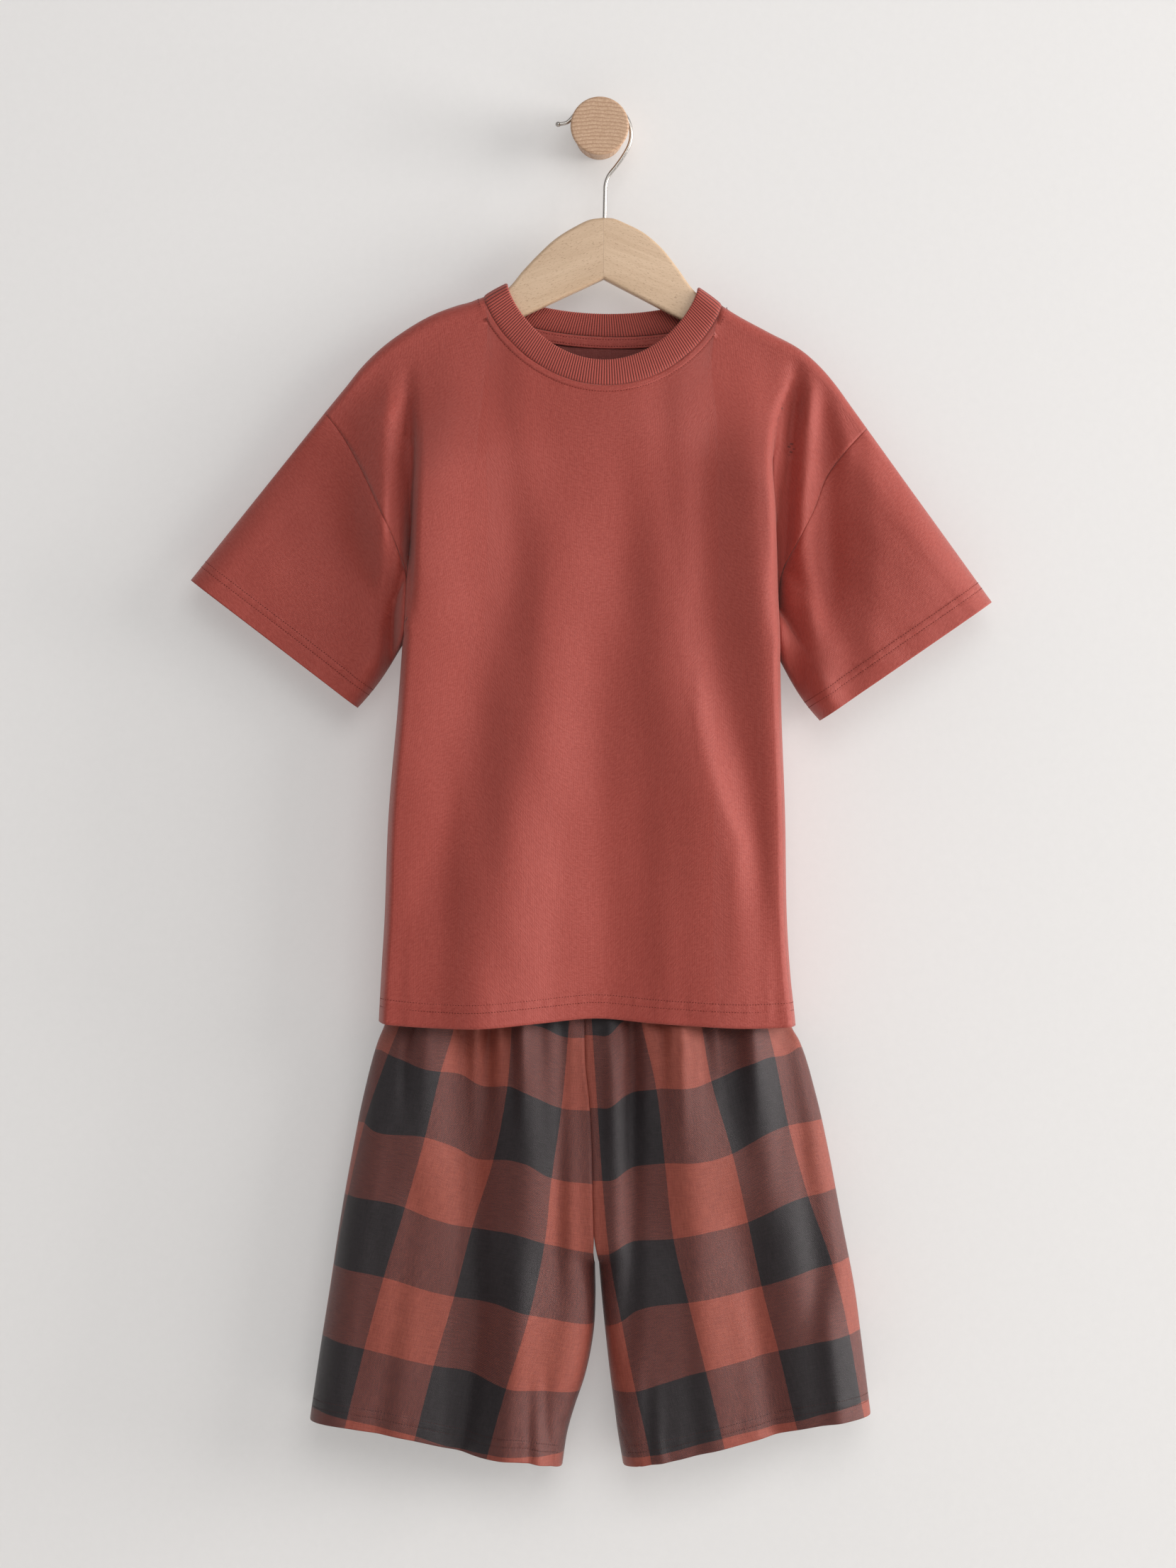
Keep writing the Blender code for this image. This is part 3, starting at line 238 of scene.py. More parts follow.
SHIRT_FOLDS = {
    "front": fold_table([
        (-159, -196, -156, -300, 8, 1.6, 1.6, 0), (151, -190, 136, -345, 7, -11, -8, 0),
        (158, -200, 158, -365, 8, 7, 4, -6), (172, -222, 174, -340, 9, -3, -4, 0),
        (181, -212, 186, -232, 7, 3, 2, 0),
    ]),
    "back": fold_table([
        (-96, -240, -128, -660, 16, 3, 4, 4), (-52, -300, -84, -670, 20, -5, -6.5, 6),
        (-14, -260, -26, -680, 20, 2.5, 4, 0), (36, -320, 30, -680, 22, -4.5, -6.5, -4),
        (82, -240, 98, -670, 17, 3.5, 4, -5), (-150, -190, -150, -320, 9, -3, -3, 0),
        (150, -195, 146, -330, 9, -3, -3, 0),
    ]),
}

# The front yoke on the viewer's left stands up beside the body's crest, and its sleeve with it.
LEFT_RISE = table("z height", [
    (-420, 20), (-345, 22), (-302, 20), (-270, 17), (-249, 14), (-217, 9), (-196, 5), (-170, 1),
    (-140, 0),
])
RISE_LEVEL = 16.0           # from the crest out to where the rise falls off
RISE_RUN = 44.0             # length over which it falls off
RISE_ROUND = 24.0           # from the underarm over which it rolls up
# Half of each layer's depth beside the armhole and at the cuff.
SLEEVE_HALF_DEPTH = {
    "left": {"front": (8.0, 14.0), "back": (8.0, 11.0)},
    "right": {"front": (8.0, 20.0), "back": (8.0, 11.0)},
}
SLEEVE_SETTLES = {"left": 0.34, "right": 0.50}  # share of its length to leave the body's depth
SLEEVE_FILLS = 0.75         # share of its length by which it has its cuff's depth
CUFF = {
    "left": {"top": (-309.1, -342.0), "bottom": (-183.5, -438.0)},
    "right": {"top": (296.3, -358.6), "bottom": (167.0, -447.7)},
}

# The shorts' edges: outseams, and the inner edge of each leg below the crotch.
SHORTS_EDGE = table("z left right", [
    (-1010, -223, 209.5), (-975, -218.4, 204.8), (-917.4, -209.9, 197.6), (-877.3, -203.5, 192.3),
    (-823.9, -195.4, 182.1), (-770.5, -185.8, 172), (-730.4, -177.8, 162.9),
    (-690.4, -167.1, 150.6), (-680, -162.8, 144.8), (-674.4, -160.7, 143.4), (-668, -157.6, 141.4),
])
LEG_INNER = table("z left right", [
    (-1012, -29, 18.6), (-984.1, -24.6, 14), (-965.4, -19.2, 11.6), (-941.4, -11.2, 8.4),
    (-909.3, -5, 4.8), (-882.6, -3.6, 2.1), (-858, -4, 0),
])
CENTRE_SEAM = table("z x", [
    (-858, -2), (-848.7, -3.4), (-810.8, -5), (-768.4, -5.9), (-736.8, -7.5), (-705.1, -10.7),
    (-668, -11.4),
])
LEG_HEM = {
    "left": table("x z", [
        (-218.4, -975), (-194.4, -977.2), (-140.6, -986.8), (-87.8, -1000), (-56.1, -1002.6),
        (-28.9, -1009.7),
    ]),
    "right": table("x z", [
        (18.4, -1009), (54.9, -1002.1), (81.3, -995.5), (134.1, -983.1), (166.1, -975.9),
        (204.3, -970.8),
    ]),
}
SHORTS_BULGE = {
    "front": table("z depth", [
        (-1015, 31), (-900, 30), (-780, 28), (-700, 23), (-665, 20),
    ]),
    "back": table("z depth", [
        (-1015, 22), (-900, 23), (-780, 21), (-700, 15), (-665, 12.5),
    ]),
}
SHORTS_ROUND = {"outer": 26.0, "inner": 24.0}
SHORTS_FOLDS = {
    "front": fold_table([
        (-126, -690, -158, -960, 18, 4, 3, 0), (-93, -700, -108, -1010, 15, -7.5, -6.5, 4),
        (-49, -690, -63, -1010, 17, 5.5, 5.5, 0), (-24, -700, -30, -860, 8, -3.5, -2, 0),
        (12, -700, 14, -850, 9, 3.5, 4, 0), (27, -700, 22, -900, 8, -5, -4, 0),
        (61, -690, 82, -1000, 20, 8, 4.5, 0), (118, -690, 128, -790, 11, 5, 2.5, 0),
        (142, -690, 165, -860, 11, -6, -8.5, 0), (112, -850, 134, -1000, 17, -6, -8.5, 0),
    ]),
    "back": fold_table([
        (-120, -690, -150, -960, 18, 3, 2.5, 0), (-70, -700, -92, -1010, 18, -4, -4, 0),
        (40, -700, 48, -1000, 18, -4, -3.5, 0), (96, -690, 120, -980, 18, 3, 3, 0),
    ]),
}
GATHERS = {"wave": 19.0, "depth": 2.6, "reach": 62.0}

# Smaller folds that the solids leave out.
FINE_FOLDS = {
    "front": fold_table([
        (-144, -222, -142, -325, 3.6, -6, -10, 1), (-144, -322, -155, -368, 3.6, -6, -8, 0),
        (144, -246, 134.5, -335, 3.6, -3, -9, -2.5), (60, -230, 66, -330, 9, 0.6, 0.9, 0),
        (74, -440, 104, -540, 6, 1.2, 1.6, -4), (-112, -520, -118, -650, 10, -0.7, -0.9, 0),
        (44, -540, 50, -670, 12, 0.8, 1.2, 0), (-30, -560, -38, -672, 11, -0.6, -1, 0),
    ]),
    "back": fold_table([
        (-70, -230, -96, -430, 9, 1.6, 2.4, 0), (8, -300, 6, -600, 11, 1.5, 2.6, 4),
        (58, -260, 64, -500, 9, 1.8, 2.2, 0), (110, -380, 118, -660, 10, -1.8, -2.8, 0),
        (-118, -420, -132, -660, 9, -1.5, -2.5, 0),
    ]),
}
# Folds beside the armholes, each wider to one side: width is to the left of its line.
UNEVEN_FOLDS = {
    "front": fold_table([
        (-160, -240, -168, -410, 22, 7, 9, 0, 7), (210, -235, 208, -400, 24, 8, 9, 0, 70),
        (162, -360, 168, -425, 13, 5, 8, 0, 16),
    ]),
    "back": fold_table([
        (-176, -250, -186, -380, 8, 2, 3, 0, 20), (168, -240, 176, -390, 24, 2.5, 3.5, 0, 9),
    ]),
}
FINE_SLEEVE_FOLDS = {
    "left": table("across width front back", [
        (0.24, 0.07, 0.6, -1), (0.50, 0.08, -0.7, 1.4), (0.74, 0.07, 0.8, -1.6),
    ]),
    "right": table("across width front back", [
        (0.20, 0.07, 0.9, -1), (0.48, 0.08, -1, 1.6), (0.76, 0.07, 1, -1.4),
    ]),
}
FINE_SHORTS_FOLDS = {
    "front": fold_table([
        (-128, -668, -130, -712, 8, 2.2, 0.6, 0), (-140, -676, -147, -700, 4, -2.4, -1.2, 0),
        (-107, -668, -110, -740, 8, -2.2, -1.2, 0), (-92, -668, -94, -730, 5, 3.2, 1.6, 0),
        (-82, -668, -83, -706, 4, -3.4, -1, 0), (-76, -668, -76, -700, 4, 2, 0.6, 0),
        (-66, -668, -65, -706, 4, -1.8, -0.8, 0), (-59, -668, -58, -724, 4, 2.2, 0.8, 0),
        (-43, -668, -42, -740, 7, -2, -1, 0), (-23, -668, -23, -830, 6, 2, 1.6, 0),
        (8, -668, 9, -740, 5, 2, 1.2, 0), (22, -668, 22, -760, 5, -2.2, -1.2, 0),
        (32, -668, 33, -715, 5, 3, 1.2, 0), (47, -668, 48, -706, 4, -1.8, -0.6, 0),
        (54, -668, 54, -700, 3, 1.4, 0.4, 0), (62, -668, 63, -730, 5, 2.2, 1, 0),
        (77, -668, 78, -700, 4, -2.4, -0.8, 0), (86, -668, 88, -714, 4, 2, 0.6, 0),
        (98, -668, 100, -720, 5, -1.4, -0.6, 0), (112, -668, 116, -735, 6, 1.8, 1.2, 0),
        (130, -668, 136, -760, 8, -2, -1.6, 0), (-60, -880, -74, -1006, 10, 1.4, 2.4, 0),
        (-88, -900, -104, -996, 9, -1.2, -2.2, 0), (-140, -820, -166, -985, 10, -1.4, -2.2, 0),
        (60, -860, 74, -1000, 10, -1.2, -2.2, 0), (104, -880, 122, -990, 9, 1.2, 2.2, 0),
        (158, -800, 178, -972, 8, 1.4, 2, 0), (-40, -976, -36, -1008, 3, -1.2, -1.6, 0),
        (-47, -980, -45, -1008, 3, 0.9, 1.3, 0), (-53, -984, -53, -1006, 3, -0.8, -1.2, 0),
        (36, -978, 38, -1006, 4, -1, -1.4, 0), (44, -982, 47, -1004, 4, 0.8, 1.2, 0),
    ]),
    "back": fold_table([
        (-96, -690, -118, -900, 9, 1.8, 2, 0), (-44, -800, -56, -1006, 9, 1.6, 2.4, 0),
        (70, -690, 84, -900, 9, -1.8, -2, 0), (28, -820, 34, -1004, 9, 1.6, 2.2, 0),
        (140, -760, 164, -975, 9, -1.6, -2.2, 0),
    ]),
}
# How much of GATHERS, of SHORTS_FOLDS and of FINE_SHORTS_FOLDS each side shows.
GATHER_SHARE = {"front": 0.25, "back": 1.0}
FOLD_SHARE = {"front": 1.3, "back": 1.0}
FINE_FOLD_SHARE = {"front": 1.8, "back": 1.3}
GATHER_ROOM = {"front": 3.0, "back": 2.0}   # the shorts' mean distance inside the hem's room

# Long, low waves that keep a hanging cloth from being even.
RIPPLES = table("wave_x wave_z phase height", [
    (41, 420, 0.4, 0.16), (67, -290, 1.9, 0.25), (29, 610, 3.1, 0.07), (113, 150, 4.4, 0.30),
    (57, 88, 2.3, 0.10),
])

# Seams along the shorts' inseams, where the back panel comes round to the front.
INSEAM = {
    "left": table("z x", [
        (-1010, -36.5), (-983, -32.4), (-950.6, -18.6), (-917.7, -5.9), (-900, -3),
    ]),
    "right": table("z x", [
        (-1008, 31), (-991, 22.3), (-969, 12.7), (-949, 9), (-930, 6.5),
    ]),
}

# The check's lines, one square apart: warp lines give x at a height, weft lines give z at an x.
CHECK_WARP = {
    "left": tables("z x", [
        [(-1010, -253), (-970.9, -240), (-812.6, -196), (-751.5, -179.6), (-700, -159.9),
         (-677.1, -150.9), (-650, -144)],
        [(-1015, -200), (-970.9, -189.1), (-917.8, -175.9), (-864.6, -161.5), (-812.6, -145.6),
         (-760, -130.7), (-710.6, -119), (-678.7, -109.5), (-650, -103)],
        [(-1015, -146), (-986.8, -138.7), (-931, -124.3), (-880.6, -109.5), (-830.1, -96.2),
         (-777, -79.2), (-722.8, -69.1), (-677.1, -65.9), (-650, -65)],
        [(-1015, -88), (-994.8, -82.9), (-947, -69.6), (-891.2, -52.6), (-839.7, -41.5),
         (-790.3, -36.2), (-738.7, -28.7), (-673.4, -22.9), (-650, -22)],
    ]),
    "right": tables("z x", [
        [(-1015, 41), (-998.5, 37.7), (-950.7, 27.1), (-899.2, 16.4), (-847.6, 7.4),
         (-792.9, 2.1), (-738.7, -1.6), (-650, -7.5)],
        [(-1015, 98), (-984.7, 91.3), (-934.2, 79.1), (-883.8, 66.4), (-835.9, 55.2),
         (-779.6, 48.8), (-724.4, 42.5), (-673.4, 31.3), (-650, 28)],
        [(-1010, 156), (-973.5, 146.6), (-922, 134.4), (-872.6, 121.6), (-823.7, 111),
         (-773.3, 99.3), (-718.6, 83.4), (-679.8, 76.5), (-650, 71)],
        [(-1000, 209), (-960.2, 198.1), (-908.7, 188), (-855.6, 174.7), (-804.6, 156.1),
         (-752, 141.3), (-701, 131.2), (-679.8, 125.9), (-650, 119)],
    ]),
}
CHECK_WEFT = {
    "left": tables("x z", [
        [(-166.8, -696.3), (-152, -701.6), (-130.7, -709.5), (-104.1, -714.3), (-88.2, -722.8),
         (-67, -722.8), (-45.7, -731.8), (-29.8, -738.7), (-5.9, -740.9)],
        [(-179.6, -750.4), (-167.9, -756.8), (-130.7, -760), (-109.5, -768), (-93.5, -777),
         (-67, -777.5), (-53.7, -780.7), (-37.7, -790.3), (-4.3, -795.6)],
        [(-190.7, -805.1), (-152, -810.5), (-125.4, -821.1), (-104.1, -827.5), (-61.7, -832.8),
         (-40.4, -839.7), (-4.3, -847.6)],
        [(-199.8, -858.3), (-162.6, -864.6), (-120.1, -877.4), (-98.8, -882.2), (-77.6, -884.8),
         (-56.3, -891.2), (-8.5, -901.8)],
        [(-207.7, -911.4), (-178.5, -917.8), (-124.3, -931), (-98.8, -936.3), (-69.6, -947),
         (-40.4, -949.6), (-18.1, -952.3)],
        [(-214.6, -965.6), (-162.6, -977.2), (-136, -984.1), (-109.5, -993.7), (-77.6, -997.4),
         (-40.4, -998.5)],
    ]),
    "right": tables("x z", [
        [(-3.2, -738.7), (7.4, -738.2), (18, -730.2), (41.9, -724.4), (71.1, -722.8),
         (83.4, -718.6), (108.3, -707.9), (124.3, -701.6), (140.2, -700), (153.5, -694.7)],
        [(-3.2, -792.9), (10.1, -791.9), (20.7, -785), (48.3, -779.6), (76.5, -778.6),
         (99.3, -772.7), (126.9, -756.8), (140.2, -752.6), (166.8, -748.8)],
        [(-0.6, -848.7), (7.4, -847.6), (18, -840.7), (55.2, -835.9), (76.5, -831.7),
         (111, -824.3), (124.3, -817.9), (140.2, -809.9), (177.4, -800.9)],
        [(0, -906), (15.9, -899.2), (28.6, -890.1), (66.9, -883.2), (97.7, -877.9),
         (121.6, -872.6), (156.1, -860.9), (189.1, -852.9)],
        [(2.1, -952.3), (27.1, -950.7), (39.3, -947), (79.1, -934.2), (108.3, -927.3),
         (161.4, -914), (196, -907.1)],
        [(10, -1003), (37.7, -998.5), (55.2, -994.8), (91.3, -984.7), (146, -973.5),
         (172.1, -965.6), (198.6, -959.7)],
    ]),
}

# ---------------------------------------------------------------- curves and profiles


def curve(xs, ys, at):
    """A smooth curve through the table's points, whose slopes come from their neighbours."""
    order = np.argsort(xs)
    xs, ys = xs[order], ys[order]
    steps = np.diff(xs)
    rises = np.diff(ys) / steps
    slopes = np.concatenate([rises[:1], (rises[1:] + rises[:-1]) / 2, rises[-1:]])
    at = np.clip(at, xs[0], xs[-1])
    i = np.clip(np.searchsorted(xs, at) - 1, 0, len(steps) - 1)
    t = (at - xs[i]) / steps[i]
    return (ys[i] * (1 + 2 * t) * (1 - t) ** 2 + ys[i + 1] * t * t * (3 - 2 * t)
            + steps[i] * (slopes[i] * t * (1 - t) ** 2 - slopes[i + 1] * t * t * (1 - t)))


def at_z(rows, column, z):
    """A table's column at the heights z."""
    return curve(rows["z"], rows[column], z)


def z_at(rows, x):
    """The heights of a table's line at x."""
    return curve(rows["x"], rows["z"], x)


def between(start, end, share):
    return start + (end - start) * share


def joined(*columns):
    """Points made of their coordinates."""
    return np.stack(columns, axis=-1)


def unit(vectors):
    return vectors / np.linalg.norm(vectors, axis=-1, keepdims=True)


def distances(x, z):
    """How far along a line each of its points lies."""
    return np.concatenate([[0], np.cumsum(np.hypot(np.diff(x), np.diff(z)))])


def along(xs, zs, fractions):
    """Points (x, z) at fractions of the length of a smooth line through the table's points."""
    knots = distances(xs, zs)
    fine = np.linspace(0, knots[-1], 400)
    x, z = curve(knots, xs, fine), curve(knots, zs, fine)
    length = distances(x, z)
    at = np.asarray(fractions) * length[-1]
    return joined(np.interp(at, length, x), np.interp(at, length, z))


def roll(t):
    """A quarter circle: steep at 0, level at 1 and beyond."""
    t = np.clip(t, 0, 1)
    return np.sqrt(1 - (1 - t) ** 2)


def ease(t):
    """A smooth step from 0 to 1."""
    t = np.clip(t, 0, 1)
    return t * t * (3 - 2 * t)


def peak(distance, width):
    """A bell curve: 1 at no distance, and fading over its width."""
    return np.exp(-(distance / width) ** 2)


def folds(rows, x, z):
    """The sum of the table's ridges and troughs at (x, z)."""
    total = np.zeros(np.broadcast(x, z).shape)
    for i in range(len(rows["x0"])):
        row = {name: column[i] for name, column in rows.items()}
        t = (z - row["z0"]) / (row["z1"] - row["z0"])
        inside = np.clip(t, 0, 1)
        middle = between(row["x0"], row["x1"], inside) + row["bow"] * 4 * inside * (1 - inside)
        past = np.maximum(-t, t - 1) * abs(row["z1"] - row["z0"])
        height = between(row["start"], row["end"], inside) * (1 - ease(past / FOLD_FADE))
        width = np.where(x < middle, row["width"], row.get("right", row["width"]))
        total = total + height * peak(x - middle, width)
    return total


def ripples(x, z):
    """The sum of the table's waves at (x, z)."""
    total = np.zeros(np.broadcast(x, z).shape)
    for wave_x, wave_z, phase, height in zip(*RIPPLES.values()):
        total = total + height * np.sin(2 * np.pi * (x / wave_x + z / wave_z) + phase)
    return total


def hem_relief(distance, along_edge, rows, past):
    """Relief of a doubled hem: raised to past its last row, drawn in at each row, and puckered."""
    raised = HEM_RAISE * ease((rows[-1] + past - distance) / HEM_STEP)
    for row in rows:
        raised = raised - STITCH_SINK * peak(distance - row, STITCH_GROOVE)
    near = peak(distance - sum(rows) / len(rows), PUCKER_REACH)
    waves = sum(share * np.sin(2 * np.pi * along_edge / wave + phase)
                for wave, phase, share in PUCKER_WAVES)
    return raised + PUCKER * near * waves


# ---------------------------------------------------------------- the shirt's form


def neckline(side, t, ends, drops, powers):
    """The neck's curve for t from -1, at the left shoulder, to 1, at the right one."""
    (x0, z0), (x1, z1) = ends
    x = between(x0, x1, (t + 1) / 2)
    z = between(z0, z1, (t + 1) / 2) - drops[side] * (1 - t * t) ** powers[side]
    return joined(x, z)


def neck_seam(side, t):
    return neckline(side, t, NECK_SEAM_ENDS, NECK_SEAM_DROP, NECK_SEAM_POWER)


def neck_edge(side, t):
    return neckline(side, t, NECK_EDGE_ENDS, NECK_EDGE_DROP, NECK_EDGE_POWER)


def neck_steps(count, reach=1.0):
    """Values of t along the neck, closer together towards its ends."""
    return np.sin(np.linspace(-reach, reach, count) * np.pi / 2)


def from_neck(side, x, z):
    """Distance from the neck's seam, for points that are near it; the others get FAR."""
    x, z = np.broadcast_arrays(x, z)
    distance = np.full(x.shape, FAR)
    near = z > NECK_LOWEST
    if near.any():
        seam = neck_seam(side, neck_steps(241))
        gaps = np.hypot(x[near][:, None] - seam[:, 0], z[near][:, None] - seam[:, 1])
        distance[near] = gaps.min(axis=1)
    return distance


def shirt_relief(side, x, z):
    above_hem = z - z_at(SHIRT_HEM[side], x)
    neck = from_neck(side, x, z)
    band = NECK_BAND_RAISE * ease((NECK_STITCH + NECK_BAND_PAST - neck) / NECK_BAND_STEP)
    band = band * ease(neck / NECK_SEAM_STEP + NECK_SEAM_START)
    groove = STITCH_SINK * peak(neck - NECK_STITCH, STITCH_GROOVE)
    return hem_relief(above_hem, x, SHIRT_STITCHES, JERSEY_PAST) + band - groove


def line_folds(lines, x, z):
    """How far the cloth stands out between ridge and valley lines, given from left to right."""
    places = [at_z(line, "x", z) for line in lines]
    heights = [at_z(line, "height", z) for line in lines]
    total = heights[0]
    for i in range(len(lines) - 1):
        share = ease((x - places[i]) / (places[i + 1] - places[i]))
        total = total + (heights[i + 1] - heights[i]) * share
    return total


def fine_folds(side, x, z):
    return folds(FINE_FOLDS[side], x, z) + folds(UNEVEN_FOLDS[side], x, z)


def all_folds(side, x, z):
    return folds(SHIRT_FOLDS[side], x, z) + fine_folds(side, x, z)


def shirt_depth(side, x, z, detail=True):
    """Depth (y) of the shirt's front or back at the point (x, z) of its outline's plane."""
    below = PERPENDICULAR * (z_at(SHOULDERS, x) - z)
    out = FOLD_RADIUS * roll(below / FOLD_RADIUS)
    crest = 1.0
    rise = 0.0
    for hand, sign in INWARD.items():
        underarm = ARMHOLE[hand]["z"][-1]
        inward = sign * (x - at_z(BODY_EDGE, hand, z))
        inward_low = sign * (x - at_z(BODY_EDGE, hand, np.minimum(z, underarm)))
        from_seam = np.hypot(np.maximum(inward_low, 0), np.maximum(z - underarm, 0))
        out = out * roll(from_seam / FOLD_RADIUS)
        crest = crest * roll(inward / EDGE_ROUND[side])
        if side == "front" and hand == "left":
            rise = at_z(LEFT_RISE, "height", z) * roll(from_seam / RISE_ROUND)
            rise = rise * (1 - ease((-inward - RISE_LEVEL) / RISE_RUN))
        elif hand == "right":
            rise = rise * roll(inward / EDGE_ROUND[side])
    bulge = BODY_BULGE[side]
    full = ease((PERPENDICULAR * (z_at(YOKE, x) - z) - FOLD_RADIUS) / BULGE_RUN)
    swell = at_z(bulge, "depth", z) * full
    rise = np.minimum(rise, swell)
    out = out + rise + (swell - rise) * crest
    near_edge = ease(below / FOLDS_RUN) * np.minimum(1.0, out / FOLD_RADIUS) ** 2
    raised = folds(SHIRT_FOLDS[side], x, z)
    if side == "front":
        raised = raised + line_folds(FRONT_LINES, x, z) * crest
    out = out + raised * near_edge
    if detail:
        fine = fine_folds(side, x, z) + ripples(x, z)
        relief = shirt_relief(side, x, z) * np.minimum(1.0, out / SHIRT_DETAIL)
        out = out + fine * near_edge + relief
    return HANG_PLANE + TOWARDS[side] * (FOLD_GAP + np.maximum(out, 0.0))


def on_shirt(side, xz, detail=True):
    """Points (x, y, z) of the shirt's front or back over points (x, z)."""
    x, z = xz[..., 0], xz[..., 1]
    return joined(x, shirt_depth(side, x, z, detail), z)


# ---------------------------------------------------------------- the shorts' form


def shorts_edges(z, hand):
    outer = at_z(SHORTS_EDGE, hand, z)
    inner = at_z(LEG_INNER, hand, np.minimum(z, CROTCH[1]))
    return outer, inner


def room_in_shirt(side, x, z):
    """How far the shorts may stand out from their middle plane inside the shirt's hem."""
    held_z = np.maximum(z, SHIRT_REACH)
    left, right = (at_z(BODY_EDGE, hand, held_z) for hand in HANDS)
    held_x = np.clip(x, left + ROOM_INSET, right - ROOM_INSET)
    shirt = shirt_depth(side, held_x, held_z)
    return TOWARDS[side] * (shirt - SHORTS_PLANE) - (JERSEY + WOVEN) / 2 - SHORTS_CLEAR


def shorts_relief(side, x, z, hand):
    above_hem = z - z_at(LEG_HEM[hand], x)
    relief = hem_relief(above_hem, x, SHORTS_STITCHES, WOVEN_PAST)
    from_centre = np.abs(x - at_z(CENTRE_SEAM, "x", z))
    above_crotch = ease((z - CROTCH[1]) / CENTRE_RUN)
    relief = relief - CENTRE_SINK * peak(from_centre, CENTRE_HALF) * above_crotch
    if side == "front":
        from_inseam = x - at_z(INSEAM[hand], "x", z)
        low = ease((INSEAM_TOP - z) / INSEAM_RUN)
        relief = relief - INSEAM_SINK * peak(from_inseam, INSEAM_HALF) * low
    return relief


def shorts_depth(side, x, z, hand):
    sign = INWARD[hand]
    outer, inner = shorts_edges(z, hand)
    from_outer = sign * (x - outer)
    from_inner = np.hypot(np.maximum(sign * (inner - x), 0), np.maximum(z - CROTCH[1], 0))
    edge = roll(from_outer / SHORTS_ROUND["outer"]) * roll(from_inner / SHORTS_ROUND["inner"])
    bulge = SHORTS_BULGE[side]
    gather = GATHERS["depth"] * peak(WAIST_BOTTOM - z, GATHERS["reach"])
    gather = gather * np.cos(2 * np.pi * x / GATHERS["wave"])
    fine = folds(FINE_SHORTS_FOLDS[side], x, z) * FINE_FOLD_SHARE[side]
    gather = gather * GATHER_SHARE[side] + fine
    wide = folds(SHORTS_FOLDS[side], x, z) * FOLD_SHARE[side]
    out = at_z(bulge, "depth", z) + wide + gather
    out = (out + ripples(x, z)) * edge
    leaves = ease((SHIRT_REACH - z) / SHORTS_LEAVE)
    room = room_in_shirt(side, x, z)
    held = np.minimum(out, np.minimum(room, room - GATHER_ROOM[side] + gather))
    out = held * (1 - leaves) + out * leaves
    out = out + shorts_relief(side, x, z, hand) * np.minimum(1.0, out / SHORTS_DETAIL)
    return SHORTS_PLANE + TOWARDS[side] * (FOLD_GAP + np.maximum(out, 0.0))


def square_count(lines, key, value, at, across):
    """Where a point lies between the check's lines, counted in squares from 0."""
    places = np.stack([curve(line[key], line[value], at) for line in lines])
    count = np.zeros(np.broadcast(at, across).shape)
    for i in range(len(lines) - 1):
        share = (across - places[i]) / (places[i + 1] - places[i])
        inside = np.clip(share, 0 if i else None, 1 if i < len(lines) - 2 else None)
        count = count + inside
    return count + 1.0


def check_coordinates(x, z, hand):
    """Cloth coordinates of the shorts in squares, following the check's own lines."""
    outer, _ = shorts_edges(z, hand)
    sign = INWARD[hand]
    turn = SHORTS_ROUND["outer"]
    from_outer = np.clip(sign * (x - outer), 0, turn)
    turned = turn - turn * np.arcsin(1 - from_outer / turn)
    x = np.where(sign * (x - outer) < turn, outer + sign * turned, x)
    across = square_count(CHECK_WARP[hand], "z", "x", z, x)
    down = square_count(CHECK_WEFT[hand], "x", "z", x, z)
    return across, down


# ---------------------------------------------------------------- mesh tools


def finer(steps, parts):
    """The steps, with each one split into equal parts: one number for all, or one for each."""
    parts = np.broadcast_to(parts, len(steps) - 1)
    pieces = [np.linspace(start, end, count, endpoint=False)
              for start, end, count in zip(steps[:-1], steps[1:], parts)]
    return np.append(np.concatenate(pieces), steps[-1])


def normals_of(points, ring=False):
    """Outward normals of rows of points that run down, with columns to the viewer's right."""
    across = points
    if ring:
        across = np.concatenate([points[:, -1:], points, points[:, :1]], axis=1)
    across = np.gradient(across, axis=1)
    if ring:
        across = across[:, 1:-1]
    normals = np.cross(np.gradient(points, axis=0), across)
    return normals / np.maximum(np.linalg.norm(normals, axis=-1, keepdims=True), 1e-9)


def grid(rows, columns, first=0):
    """Indices of a grid of points."""
    return first + np.arange(rows * columns).reshape(rows, columns)


def wrapped(index):
    """A grid of indices whose first column comes again at its end."""
    return np.concatenate([index, index[:, :1]], axis=1)


def quads(index):
    corners = joined(index[:-1, :-1], index[1:, :-1], index[1:, 1:], index[:-1, 1:])
    return corners.reshape(-1, 4)


def placed(name, data):
    """A new object in the scene."""
    made = bpy.data.objects.new(name, data)
    bpy.context.scene.collection.objects.link(made)
    return made


def add_mesh(name, points, faces, finish, coordinates=None):
    """An object from points in millimetres, with its cloth coordinates as an attribute.

    finish is the piece's material and the name of its slot; the slot's name is not used.
    """
    material, slot = finish
    mesh = bpy.data.meshes.new(name)
    mesh.from_pydata((np.asarray(points).reshape(-1, 3) * MM).tolist(), [], faces)
    if coordinates is not None:
        layer = mesh.attributes.new("cloth", "FLOAT_VECTOR", "POINT")
        layer.data.foreach_set("vector", np.asarray(coordinates, np.float32).ravel())
    mesh.shade_smooth()
    mesh.materials.append(material)
    made = placed(name, mesh)
    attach(made, "root")
    return made


